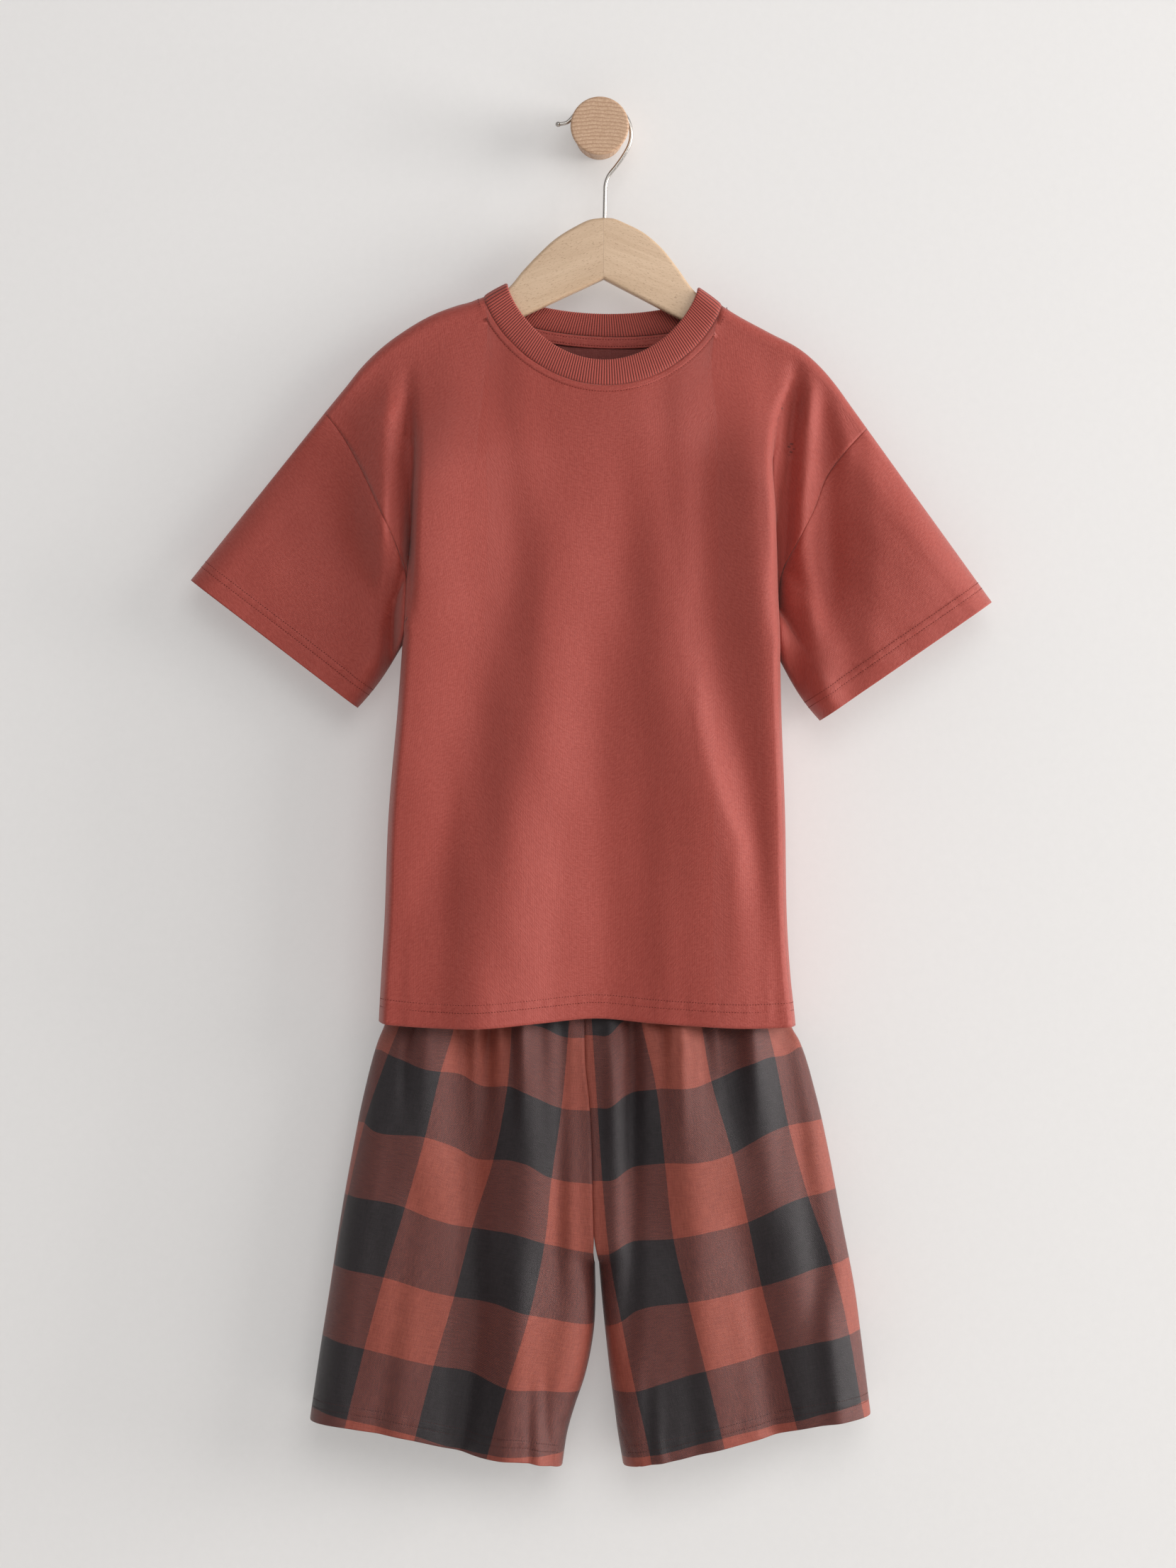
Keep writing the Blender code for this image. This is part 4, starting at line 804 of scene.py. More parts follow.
def shell(node, points, coordinates, wall, finish, ring=False):
    """A sheet of cloth for a node: its outer and inner layers, and the rims that join them."""
    rows, columns = points.shape[:2]
    normals = normals_of(points, ring) * (wall / 2)
    outer, inner = points + normals, points - normals
    index = grid(rows, columns)
    if ring:
        index = wrapped(index)
    layer = rows * columns
    faces = [quads(index), quads(index)[:, ::-1] + layer]
    rims = [index[0], index[-1][::-1]]
    if not ring:
        rims += [index[::-1, 0], index[:, -1]]
    for rim in rims:
        faces.append(joined(rim[:-1], rim[1:], rim[1:] + layer, rim[:-1] + layer))
    both = np.concatenate([outer.reshape(-1, 3), inner.reshape(-1, 3)])
    coordinates = coordinates.reshape(-1, 3)
    # Each inner layer gets 1 as its third coordinate; the jersey darkens that face with painted
    # shade and the purl side's duller colour.
    coordinates = np.concatenate([coordinates, coordinates + (0, 0, 1)])
    made = add_mesh(node + "_cloth", both, np.concatenate(faces).tolist(), finish, coordinates)
    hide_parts(node)
    return made


def cloth_lengths(points):
    """Lengths across and down a sheet along its own cloth, as its cloth coordinates."""
    across = np.linalg.norm(np.diff(points, axis=1), axis=-1)
    down = np.linalg.norm(np.diff(points, axis=0), axis=-1)
    u = np.concatenate([np.zeros((len(points), 1)), np.cumsum(across, axis=1)], axis=1)
    v = np.concatenate([np.zeros((1, points.shape[1])), np.cumsum(down, axis=0)], axis=0)
    u = u - u[:, points.shape[1] // 2, None]
    return joined(u, v, np.zeros_like(u))


def patch(top, bottom, left, right, across, down, low_across=None):
    """A panel's points between its four edges, each given by one point a column or row.

    across and low_across are the columns' shares of the top and of the bottom edge.
    """
    low_across = across if low_across is None else low_across
    v = down[:, None, None]
    u = between(across, low_across, ease(down / EVEN_SHARE)[:, None])
    u = u[..., None]
    flat = between(between(top[0], top[-1], u), between(bottom[0], bottom[-1], u), v)
    top_bend = top - between(top[0], top[-1], across[:, None])
    bottom_bend = bottom - between(bottom[0], bottom[-1], low_across[:, None])
    left_bend = left - between(top[0], bottom[0], down[:, None])
    right_bend = right - between(top[-1], bottom[-1], down[:, None])
    return (flat + top_bend[None] * (1 - v) ** BEND_FADE + bottom_bend[None] * v ** BEND_FADE
            + left_bend[:, None] * (1 - u) + right_bend[:, None] * u)


def graded(*runs):
    """Steps from 0 to 1 made of runs (end, count, power), finer at each run's start or end."""
    steps = [0.0]
    for end, count, power in runs:
        start = steps[-1]
        part = np.arange(1, count + 1) / count
        part = part ** power if power > 0 else 1 - (1 - part) ** -power
        steps.extend(between(start, end, part))
    return np.array(steps)


# ---------------------------------------------------------------- materials


def add(tree, kind, inputs=None, **settings):
    """A shader node with its settings; each input is a number, a colour or a node's socket."""
    node = tree.nodes.new("ShaderNode" + kind)
    for name, value in settings.items():
        setattr(node, name, value)
    for key, value in (inputs or {}).items():
        if isinstance(value, bpy.types.NodeSocket):
            tree.links.new(value, node.inputs[key])
        else:
            node.inputs[key].default_value = value
    return node


def maths(tree, operation, first, second=0.0):
    return add(tree, "Math", {0: first, 1: second}, operation=operation).outputs[0]


def weighted(tree, *parts):
    """The sum of values, each given with its weight."""
    total, *others = (maths(tree, "MULTIPLY", value, weight) for value, weight in parts)
    for other in others:
        total = maths(tree, "ADD", total, other)
    return total


def mixed(tree, share, first, second):
    node = add(tree, "Mix", {0: share, 6: first, 7: second}, data_type="RGBA")
    return node.outputs[2]


def spread(tree, value, low, high, to_low=0.0, to_high=1.0):
    """The value mapped from low-high to to_low-to_high, and held at the ends."""
    inputs = {"Value": value, "From Min": low, "From Max": high, "To Min": to_low,
              "To Max": to_high}
    return add(tree, "MapRange", inputs, clamp=True).outputs[0]


def noise(tree, vector, scale, detail=2.0, roughness=0.5):
    inputs = {"Vector": vector, "Scale": scale, "Detail": detail, "Roughness": roughness}
    return add(tree, "TexNoise", inputs).outputs["Fac"]


def stretched(tree, vector, scales, turn=(0.0, 0.0, 0.0)):
    inputs = {"Vector": vector, "Scale": scales, "Rotation": turn}
    return add(tree, "Mapping", inputs).outputs[0]


def grained(tree, vector, scales, detail, roughness=0.5):
    """Noise with a scale of its own along each axis."""
    return noise(tree, stretched(tree, vector, scales), 1.0, detail, roughness)


def wave(tree, value, length):
    """A sine along the value, with waves of the length."""
    return maths(tree, "SINE", maths(tree, "MULTIPLY", value, 2 * math.pi / length))


def object_place(tree):
    return add(tree, "TexCoord").outputs["Object"]


def new_material(name, **settings):
    """(material, node tree) with uniform values set on the shader's own sockets."""
    made = bpy.data.materials.new(name)
    made.use_nodes = True
    shader = made.node_tree.nodes["Principled BSDF"]
    for key, value in settings.items():
        shader.inputs[key.replace("_", " ").title().replace("Ior", "IOR")].default_value = value
    return made, made.node_tree


def finished(made, colour, height=None, depth_mm=0.0, strength=1.0):
    """The material with its colour and, where there is a height, a bump of it."""
    tree = made.node_tree
    shader = tree.nodes["Principled BSDF"]
    tree.links.new(colour, shader.inputs["Base Color"])
    if height is not None:
        inputs = {"Height": height, "Strength": strength, "Distance": depth_mm * MM}
        tree.links.new(add(tree, "Bump", inputs).outputs[0], shader.inputs["Normal"])
    return made


def cloth_place(tree):
    """(vector, u, v, w) of the cloth coordinates."""
    vector = add(tree, "Attribute", attribute_name="cloth").outputs["Vector"]
    split = add(tree, "SeparateXYZ", {0: vector})
    return vector, split.outputs[0], split.outputs[1], split.outputs[2]


RUST_LIGHT = (0.390, 0.060, 0.042, 1.0)
RUST_DARK = (0.322, 0.037, 0.024, 1.0)
RIB_CREST = (0.44, 0.070, 0.050, 1.0)
# Painted shade for the grooves between the neckband's ribs.
RIB_GROOVE_SHADE = (0.070, 0.010, 0.007, 1.0)
# The jersey's inner face: partly the purl side's own duller colour, partly painted shade for the
# shadowed inside of the shirt.
INSIDE_FACE_AND_SHADE = (0.05, 0.004, 0.003, 1.0)
INSIDE_SHADE = 0.58         # how far the cloth's inner face is towards INSIDE_FACE_AND_SHADE
JERSEY_SHEEN = {"sheen_weight": 0.25, "sheen_roughness": 0.5, "sheen_tint": (1.0, 0.88, 0.84, 1.0)}
TWILL_SHEEN = {"sheen_weight": 0.05, "sheen_roughness": 0.5, "sheen_tint": (1.0, 0.95, 0.95, 1.0)}
COURSE = WALE * 0.8         # pitch of the jersey's courses
RIB_COURSE = 0.75
TERRACOTTA = ((0.35, 0.078, 0.049, 1.0), (0.225, 0.041, 0.026, 1.0))
CHARCOAL = ((0.025, 0.0175, 0.0215, 1.0), (0.008, 0.0055, 0.0068, 1.0))
CROSSED_SHADE = 0.24        # how far the charcoal yarn wins where the two yarns cross
# The shirt's thread is darker than its own rust: painted shade for the shadowed needle holes and
# groove along each row of stitches.
RUST_THREAD_AND_SHADE = (0.15, 0.020, 0.014, 1.0)
SHORTS_THREAD = (0.075, 0.030, 0.028, 1.0)
THREAD_DARK = 0.7           # the thread's shade between its strands
BEECH = ((0.56, 0.385, 0.248, 1.0), (0.68, 0.495, 0.338, 1.0))
BEECH_FLECK = (0.26, 0.135, 0.070, 1.0)
BEECH_SLANT = {"left": 20.0, "right": -22.0}    # degrees
KNOB_WOOD = ((0.50, 0.315, 0.20, 1.0), (0.64, 0.44, 0.30, 1.0))
KNOB_RING = (0.33, 0.175, 0.10, 1.0)
RING_CENTRE = (-2.0, -123.0)    # (x, z) of the tree's heart from the knob's axis
RING_PITCH = 2.85
RING_WOBBLE = 3.5
STEEL = ((0.40, 0.375, 0.35, 1.0), (0.56, 0.53, 0.50, 1.0))
STEEL_ROUGHNESS = (0.24, 0.36)
WALL_PAINT = ((0.565, 0.557, 0.555, 1.0), (0.595, 0.587, 0.585, 1.0))
FLOOR_PAINT = ((0.72, 0.70, 0.68, 1.0), (0.78, 0.76, 0.74, 1.0))


def jersey_material():
    """Fine cotton jersey: wales and courses in the bump, a nap, and a darker inner face that is
    partly its own duller purl side and partly painted shade.
    """
    made, tree = new_material("rust_jersey_knit", roughness=0.52, specular_ior_level=0.45,
                              **JERSEY_SHEEN)
    vector, u, v, inside = cloth_place(tree)
    broad = noise(tree, vector, 0.035, 3.0, 0.6)
    nap = grained(tree, vector, (0.30, 0.62, 1.0), 4.0, 0.75)
    grain = noise(tree, vector, 1.3, 4.0, 0.7)
    mottle = weighted(tree, (broad, 0.12), (nap, 0.88))
    colour = mixed(tree, spread(tree, mottle, 0.40, 0.60), RUST_DARK, RUST_LIGHT)
    # Painted shade, with the purl side's duller colour, on the inner face.
    shade = maths(tree, "MULTIPLY", inside, INSIDE_SHADE)
    colour = mixed(tree, shade, colour, INSIDE_FACE_AND_SHADE)
    wale = maths(tree, "ABSOLUTE", wave(tree, u, 2 * WALE))
    knit = weighted(tree, (wale, 1.0), (wave(tree, v, COURSE), 0.25))
    height = weighted(tree, (knit, 0.5), (grain, 0.9), (nap, 2.4))
    return finished(made, colour, height, 0.16)


def rib_material():
    """The neckband's knit: light ribs, and painted shade darkening the grooves where the third
    coordinate rises.
    """
    made, tree = new_material("rust_rib_knit", roughness=0.55, specular_ior_level=0.4,
                              **JERSEY_SHEEN)
    vector, _, v, groove = cloth_place(tree)
    grain = noise(tree, vector, 1.6, 3.0, 0.7)
    crest = mixed(tree, grain, RUST_LIGHT, RIB_CREST)
    # Painted shade in the grooves.
    colour = mixed(tree, spread(tree, groove, 0.2, 0.75), crest, RIB_GROOVE_SHADE)
    height = weighted(tree, (wave(tree, v, RIB_COURSE), 0.3), (grain, 1.0))
    return finished(made, colour, height, 0.14)


def check_material():
    """Brushed twill with a check of two yarns: squares of each, and of both mixed by the weave."""
    made, tree = new_material("check_cotton_twill", roughness=0.47, specular_ior_level=0.45,
                              **TWILL_SHEEN)
    vector, u, v, _ = cloth_place(tree)
    in_mm = stretched(tree, vector, (SQUARE, SQUARE, 1.0))
    fuzz = noise(tree, in_mm, 1.3, 4.0, 0.7)
    yarns, darks = [], []
    for place, slubs in ((u, (1.1, 0.10, 1.0)), (v, (0.10, 1.1, 1.0))):
        dark = maths(tree, "FLOORED_MODULO", maths(tree, "FLOOR", place), 2.0)
        tone = spread(tree, grained(tree, in_mm, slubs, 3.0, 0.65), 0.36, 0.64)
        light = mixed(tree, tone, TERRACOTTA[1], TERRACOTTA[0])
        deep = mixed(tree, tone, CHARCOAL[1], CHARCOAL[0])
        yarns.append(mixed(tree, dark, light, deep))
        darks.append(dark)
    twill = wave(tree, maths(tree, "ADD", u, v), TWILL / SQUARE)
    on_top = maths(tree, "ADD", twill, spread(tree, fuzz, 0.3, 0.7, -1.1, 1.1))
    colour = mixed(tree, spread(tree, on_top, -0.7, 0.7), yarns[1], yarns[0])
    crossed = maths(tree, "ABSOLUTE", maths(tree, "SUBTRACT", *darks))
    colour = mixed(tree, maths(tree, "MULTIPLY", crossed, CROSSED_SHADE), colour, CHARCOAL[0])
    return finished(made, colour, weighted(tree, (twill, 0.25), (fuzz, 2.0)), 0.18)


def thread_material(name, colour):
    made, tree = new_material(name, roughness=0.7, specular_ior_level=0.25)
    twist = noise(tree, object_place(tree), 2600.0, 2.0)
    darker = tuple(THREAD_DARK * part for part in colour[:3]) + (1.0,)
    return finished(made, mixed(tree, twist, darker, colour), twist, 0.05)


def beech_material(name, slant):
    """Pale beech with its grain along slant (degrees), short flecks and a thin satin finish."""
    made, tree = new_material(name, roughness=0.42, specular_ior_level=0.4, coat_weight=0.12,
                              coat_roughness=0.3)
    turn = (0.0, math.radians(slant), 0.0)
    turned = stretched(tree, object_place(tree), (1.0, 1.0, 1.0), turn)
    grain = grained(tree, turned, (26.0, 260.0, 420.0), 5.0, 0.65)
    cloud = grained(tree, turned, (9.0, 30.0, 36.0), 2.0)
    fleck = grained(tree, turned, (420.0, 1500.0, 2600.0), 1.0)
    tone = weighted(tree, (grain, 0.6), (cloud, 0.4))
    colour = mixed(tree, spread(tree, tone, 0.32, 0.68), *BEECH)
    marks = spread(tree, fleck, 0.62, 0.70, 0.0, 0.5)
    colour = mixed(tree, marks, colour, BEECH_FLECK)
    return finished(made, colour, weighted(tree, (grain, 0.5), (marks, -1.0)), 0.08, 0.6)


def knob_material():
    """Turned wood whose growth rings cross the disc as low arches."""
    made, tree = new_material("knob_wood_rings", roughness=0.5, specular_ior_level=0.35)
    place = object_place(tree)
    split = add(tree, "SeparateXYZ", {0: place})
    wobble = grained(tree, place, (60.0, 20.0, 60.0), 2.0)
    x = maths(tree, "SUBTRACT", split.outputs[0], RING_CENTRE[0] * MM)
    z = maths(tree, "SUBTRACT", split.outputs[2], RING_CENTRE[1] * MM)
    radius = maths(tree, "SQRT", weighted(tree, (x, x), (z, z)))
    radius = weighted(tree, (radius, 1.0), (wobble, RING_WOBBLE * MM))
    phase = maths(tree, "FRACT", maths(tree, "DIVIDE", radius, RING_PITCH * MM))
    line = maths(tree, "POWER", phase, 3.0)
    pores = grained(tree, place, (900.0, 160.0, 900.0), 2.0)
    base = mixed(tree, spread(tree, pores, 0.3, 0.7), *KNOB_WOOD)
    colour = mixed(tree, maths(tree, "MULTIPLY", line, 0.8), base, KNOB_RING)
    return finished(made, colour, weighted(tree, (pores, 0.5), (line, -1.0)), 0.07, 0.7)


def steel_material():
    made, tree = new_material("polished_steel_wire", metallic=1.0)
    drawn = noise(tree, object_place(tree), 900.0, 3.0)
    shader = tree.nodes["Principled BSDF"]
    tree.links.new(spread(tree, drawn, 0.3, 0.7, *STEEL_ROUGHNESS), shader.inputs["Roughness"])
    return finished(made, mixed(tree, drawn, *STEEL), drawn, 0.01, 0.4)


def wall_material():
    """Matte paint for the staged wall, lit a little of itself and seen only from its front."""
    made, tree = new_material("wall_paint", roughness=0.95, specular_ior_level=0.1,
                              emission_color=(1.0, 0.98, 0.965, 1.0), emission_strength=0.25)
    grain = noise(tree, object_place(tree), 160.0, 4.0, 0.6)
    facing = add(tree, "NewGeometry").outputs["Backfacing"]
    paint = tree.nodes["Principled BSDF"].outputs[0]
    clear = add(tree, "BsdfTransparent").outputs[0]
    both = add(tree, "MixShader", {0: facing, 1: paint, 2: clear}).outputs[0]
    tree.links.new(both, tree.nodes["Material Output"].inputs["Surface"])
    return finished(made, mixed(tree, grain, *WALL_PAINT), grain, 0.12, 0.5)


def floor_material():
    made, tree = new_material("floor_paint", roughness=0.9, specular_ior_level=0.15)
    grain = noise(tree, object_place(tree), 60.0, 3.0)
    return finished(made, mixed(tree, grain, *FLOOR_PAINT))


# Each finish is a material and the name of a slot.
JERSEY_FINISH = (jersey_material(), "rust_jersey")
RIB_FINISH = (rib_material(), "rust_rib")
CHECK_FINISH = (check_material(), "check_cotton")
THREAD_FINISH = (thread_material("rust_thread_and_shade", RUST_THREAD_AND_SHADE), "rust_jersey")
SHORTS_THREAD_FINISH = (thread_material("shorts_thread", SHORTS_THREAD), "check_cotton")
BEECH_FINISH = {hand: beech_material("beech_" + hand, BEECH_SLANT[hand]) for hand in HANDS}
KNOB_FINISH = (knob_material(), "knob_wood")
STEEL_FINISH = (steel_material(), "polished_steel")

# ---------------------------------------------------------------- the shirt's pieces

VALLEY_SHARE = 0.045        # share of a panel's columns outside its body edge
CREST_SHARE = 0.10          # share out to the crest behind that edge
SHOULDER_SHARE = 0.30       # share along each shoulder
ARM_SHARE = 0.40            # share of its rows along the armhole
HALF_PARTS = [5] * 5 + [7] * 3 + [3] + [6] * 6
HALF_ACROSS = finer(graded((VALLEY_SHARE, 2, 1.3), (CREST_SHARE, 3, 1.0),
                           (SHOULDER_SHARE, 3, 1.0), (0.315, 1, 1.0), (0.5, 6, 1.0)), HALF_PARTS)
HALF_LOW = finer(graded((0.005, 2, 1.3), (0.054, 3, 1.0), (0.5, 10, 1.0)), HALF_PARTS)
ACROSS = np.concatenate([HALF_ACROSS, 1 - HALF_ACROSS[-2::-1]])
LOW_ACROSS = np.concatenate([HALF_LOW, 1 - HALF_LOW[-2::-1]])
DOWN = finer(graded((0.004, 1, 1.0), (0.05, 3, 1.5), (0.34, 5, 1.0), (ARM_SHARE, 3, -1.7),
                    (1.0, 8, 1.0)), [4] + [7] * 3 + [11] * 5 + [5] * 3 + [12] * 7 + [36])
ARM_STEPS = DOWN[DOWN <= ARM_SHARE + 1e-9] / ARM_SHARE
SLEEVE_LENGTHS = finer(np.array([0.0, 0.06, 0.82, 1.0]), [6, 26, 22])
# Share of a sleeve's width over which its bottom fold turns beside the underarm.
UNDERARM_TURN = {"left": 0.045, "right": 0.20}
HEM_MARGIN = {"shirt": 2.5, "shorts": 3.0}  # a hem's stitches stop this far from its ends
VALLEY_IN = 1.5             # the valley's columns lie this far inside the body's edge
ARM_CLEAR = 1.0             # or, above the underarm, this far from the armhole
FOLLOW_SHARE = 0.12         # share of the panel below its top over which columns come to the edge
TURN_SETTLES = 0.9          # share of a sleeve's length over which its bottom fold grows tighter
CLEAR_RUN = (0.5, 0.3)      # the gap at the underarm: where it starts, and over which share
SAG_FROM = 0.6              # share of a sleeve's width below which it sags
FOLD_GROWTH = 0.8           # how fast its small folds grow along it
CUFF_WIDTH = 157.0
SLEEVE_RIPPLES = 0.6
ARM_SINK = 0.7              # groove of the armhole's seam, its place and its half width
ARM_SEAM = 0.4
ARM_HALF = 1.1


def shoulder_points(hand, fractions):
    """The shoulder seam from the shoulder point to the neck."""
    x = SHOULDERS["x"]
    if hand == "left":
        line = x <= NECK_SEAM_ENDS[0][0] + 0.1
        return along(x[line], SHOULDERS["z"][line], fractions)
    line = x >= NECK_SEAM_ENDS[1][0] - 0.1
    return along(x[line][::-1], SHOULDERS["z"][line][::-1], fractions)


def panel_top(side):
    left = shoulder_points("left", ACROSS[ACROSS < SHOULDER_SHARE - 1e-9] / SHOULDER_SHARE)
    right_share = ACROSS[ACROSS > 1 - SHOULDER_SHARE + 1e-9]
    right = shoulder_points("right", (1 - right_share) / SHOULDER_SHARE)
    middle = ACROSS[(ACROSS > SHOULDER_SHARE - 1e-9) & (ACROSS < 1 - SHOULDER_SHARE + 1e-9)]
    t = (middle - 0.5) / (0.5 - SHOULDER_SHARE)
    turned = np.sin(np.clip(t, -1, 1) * np.pi / 2)
    neck = neck_seam(side, turned)
    return np.concatenate([left, neck, right])


def panel_side(side, hand):
    arm = along(ARMHOLE[hand]["x"], ARMHOLE[hand]["z"], ARM_STEPS)
    hem_z = SHIRT_HEM[side]["z"][0 if hand == "left" else -1]
    z = np.linspace(arm[-1, 1], hem_z, int((DOWN > ARM_SHARE + 1e-9).sum()) + 1)[1:]
    return np.concatenate([arm, joined(at_z(BODY_EDGE, hand, z), z)])


def shirt_panel(side):
    hem = SHIRT_HEM[side]
    hem_x = between(hem["x"][0], hem["x"][-1], LOW_ACROSS)
    bottom = joined(hem_x, z_at(hem, hem_x))
    left, right = panel_side(side, "left"), panel_side(side, "right")
    bottom[0], bottom[-1] = left[-1], right[-1]
    return follow_edges(side, patch(panel_top(side), bottom, left, right, ACROSS, DOWN,
                                    LOW_ACROSS))


def follow_edges(side, xz):
    """Moves the outer columns sideways, so that they run along the body's edge and its crest."""
    moved = xz.copy()
    knots = np.array([0.0, VALLEY_SHARE, CREST_SHARE, SHOULDER_SHARE])
    for hand, sign in INWARD.items():
        order = slice(None) if hand == "left" else slice(None, None, -1)
        columns = HALF_ACROSS[HALF_ACROSS <= SHOULDER_SHARE + 1e-9]
        for row, share in zip(moved, DOWN):
            x, z = row[order, 0], row[order, 1]
            edge = at_z(BODY_EDGE, hand, z[:1])[0]
            valley = VALLEY_IN
            if share < ARM_SHARE:
                valley = max(-ARM_CLEAR, sign * (x[0] - edge) + ARM_CLEAR)
            at = [x[0], edge + sign * valley, edge + sign * EDGE_ROUND[side], x[len(columns) - 1]]
            follow = ease(share / FOLLOW_SHARE)
            shifted = np.interp(columns, knots, at)
            x[:len(columns)] += (shifted - x[:len(columns)]) * follow
    return moved


def make_shirt_panel(side):
    points = on_shirt(side, shirt_panel(side))
    if side == "back":
        points = points[:, ::-1]
    return shell("shirt_" + side, points, cloth_lengths(points), JERSEY, JERSEY_FINISH)


def sleeve_half(hand, side, lengths):
    """One layer of a sleeve: rows along its length, columns from its top fold to the bottom."""
    arm = on_shirt(side, along(ARMHOLE[hand]["x"], ARMHOLE[hand]["z"], ARM_STEPS))
    top, bottom = (np.array(CUFF[hand][end]) for end in ("top", "bottom"))
    share = ((1 - np.cos(np.pi * ARM_STEPS)) / 2 + ARM_STEPS) / 2
    cuff_xz = between(top, bottom, share[:, None])
    settled = ease(lengths / TURN_SETTLES)
    turn = between(UNDERARM_TURN[hand], SLEEVE_EDGE_SHARE, settled)[:, None]
    round_edge = roll(share / SLEEVE_EDGE_SHARE)[None] * roll((1 - share)[None] / turn)
    beside, at_cuff = SLEEVE_HALF_DEPTH[hand][side]
    cuff_y = HANG_PLANE + TOWARDS[side] * at_cuff * round_edge[-1]
    cuff = joined(cuff_xz[:, 0], cuff_y, cuff_xz[:, 1])
    run = cuff - arm
    clear = UNDERARM_CLEAR * ease((share - CLEAR_RUN[0]) / CLEAR_RUN[1])
    arm = arm + run * (clear / np.linalg.norm(run, axis=1))[:, None]
    points = between(arm[None], cuff[None], lengths[:, None, None])
    shared = all_folds(side, arm[:, 0], arm[:, 2]) * round_edge[0]
    own = ease(lengths / SLEEVE_SETTLES[hand])[:, None]
    half_depth = between(beside, at_cuff, ease(lengths / SLEEVE_FILLS)[:, None])
    level = HANG_PLANE + TOWARDS[side] * half_depth * round_edge
    points[..., 1] = between(arm[:, 1] - TOWARDS[side] * shared, level, own)
    bellied = np.sin(np.pi * lengths)[:, None]
    points[..., 2] -= UNDER_SLEEVE_SAG * bellied * ease((share - SAG_FROM) / (1 - SAG_FROM))[None]
    shared = all_folds(side, points[..., 0], points[..., 2]) * round_edge
    points[..., 1] += TOWARDS[side] * shared
    grown = np.sin(np.pi * np.minimum(lengths * FOLD_GROWTH, 0.5))[:, None]
    rows = FINE_SLEEVE_FOLDS[hand]
    for across, width, depth in zip(rows["across"], rows["width"], rows[side]):
        shape = peak(share - across, width) * round_edge
        points[..., 1] += TOWARDS[side] * depth * shape * grown
    length = np.linalg.norm(cuff - arm, axis=1)[None] * lengths[:, None]
    from_hem = length[-1:] - length
    relief = hem_relief(from_hem, share[None] * CUFF_WIDTH, SLEEVE_STITCHES, JERSEY_PAST)
    relief = relief + SLEEVE_RIPPLES * ripples(points[..., 0], points[..., 2])
    relief = relief - ARM_SINK * peak(length - ARM_SEAM, ARM_HALF)
    points[..., 1] += TOWARDS[side] * relief * round_edge
    return points


def make_sleeve(hand):
    front, back = (sleeve_half(hand, side, SLEEVE_LENGTHS) for side in SIDES)
    front[:, (0, -1), 1] = HANG_PLANE
    ring = np.concatenate([front, back[:, -2:0:-1]], axis=1)
    if hand == "right":
        ring = ring[:, ::-1]
    made = shell("sleeve_" + hand, ring, cloth_lengths(ring), JERSEY, JERSEY_FINISH, ring=True)
    normals = normals_of(ring, ring=True)
    rows = [inset(ring, normals, distance, JERSEY / 2) for distance in SLEEVE_STITCHES]
    stitches("sleeve_" + hand + "_stitches", rows, THREAD_FINISH, closed=True)
    return made


def inset(points, normals, distance, lift):
    """A line on a sheet at a distance from its last row, as (points, normals)."""
    backward, turned = points[::-1], normals[::-1]
    length = np.cumsum(np.linalg.norm(np.diff(backward, axis=0), axis=-1), axis=0)
    length = np.concatenate([np.zeros((1, length.shape[1])), length])
    line = np.empty((points.shape[1], 3))
    up = np.empty_like(line)
    for j in range(points.shape[1]):
        for k in range(3):
            line[j, k] = np.interp(distance, length[:, j], backward[:, j, k])
            up[j, k] = np.interp(distance, length[:, j], turned[:, j, k])
    return line + up * lift, up


def over(depth, xz, wall, side):
    """A line laid on a sheet of the side, as (points, normals): depth gives y at (x, z)."""
    step = 0.4
    x, z = xz[:, 0], xz[:, 1]
    slope_x = (depth(x + step, z) - depth(x - step, z)) / (2 * step)
    slope_z = (depth(x, z + step) - depth(x, z - step)) / (2 * step)
    towards = TOWARDS[side]
    up = unit(joined(-towards * slope_x, np.full(len(x), towards), -towards * slope_z))
    return joined(x, depth(x, z), z) + up * (wall / 2), up


# One stitch: rings of four points between its two ends, as (place along it, radius, height).
STITCH_RINGS = ((-0.30, 0.8, 0.45), (0.0, 1.0, 0.9), (0.30, 0.8, 0.45))
STITCH_DIP = 0.7            # how far its ends dip, in radii
RING = 4


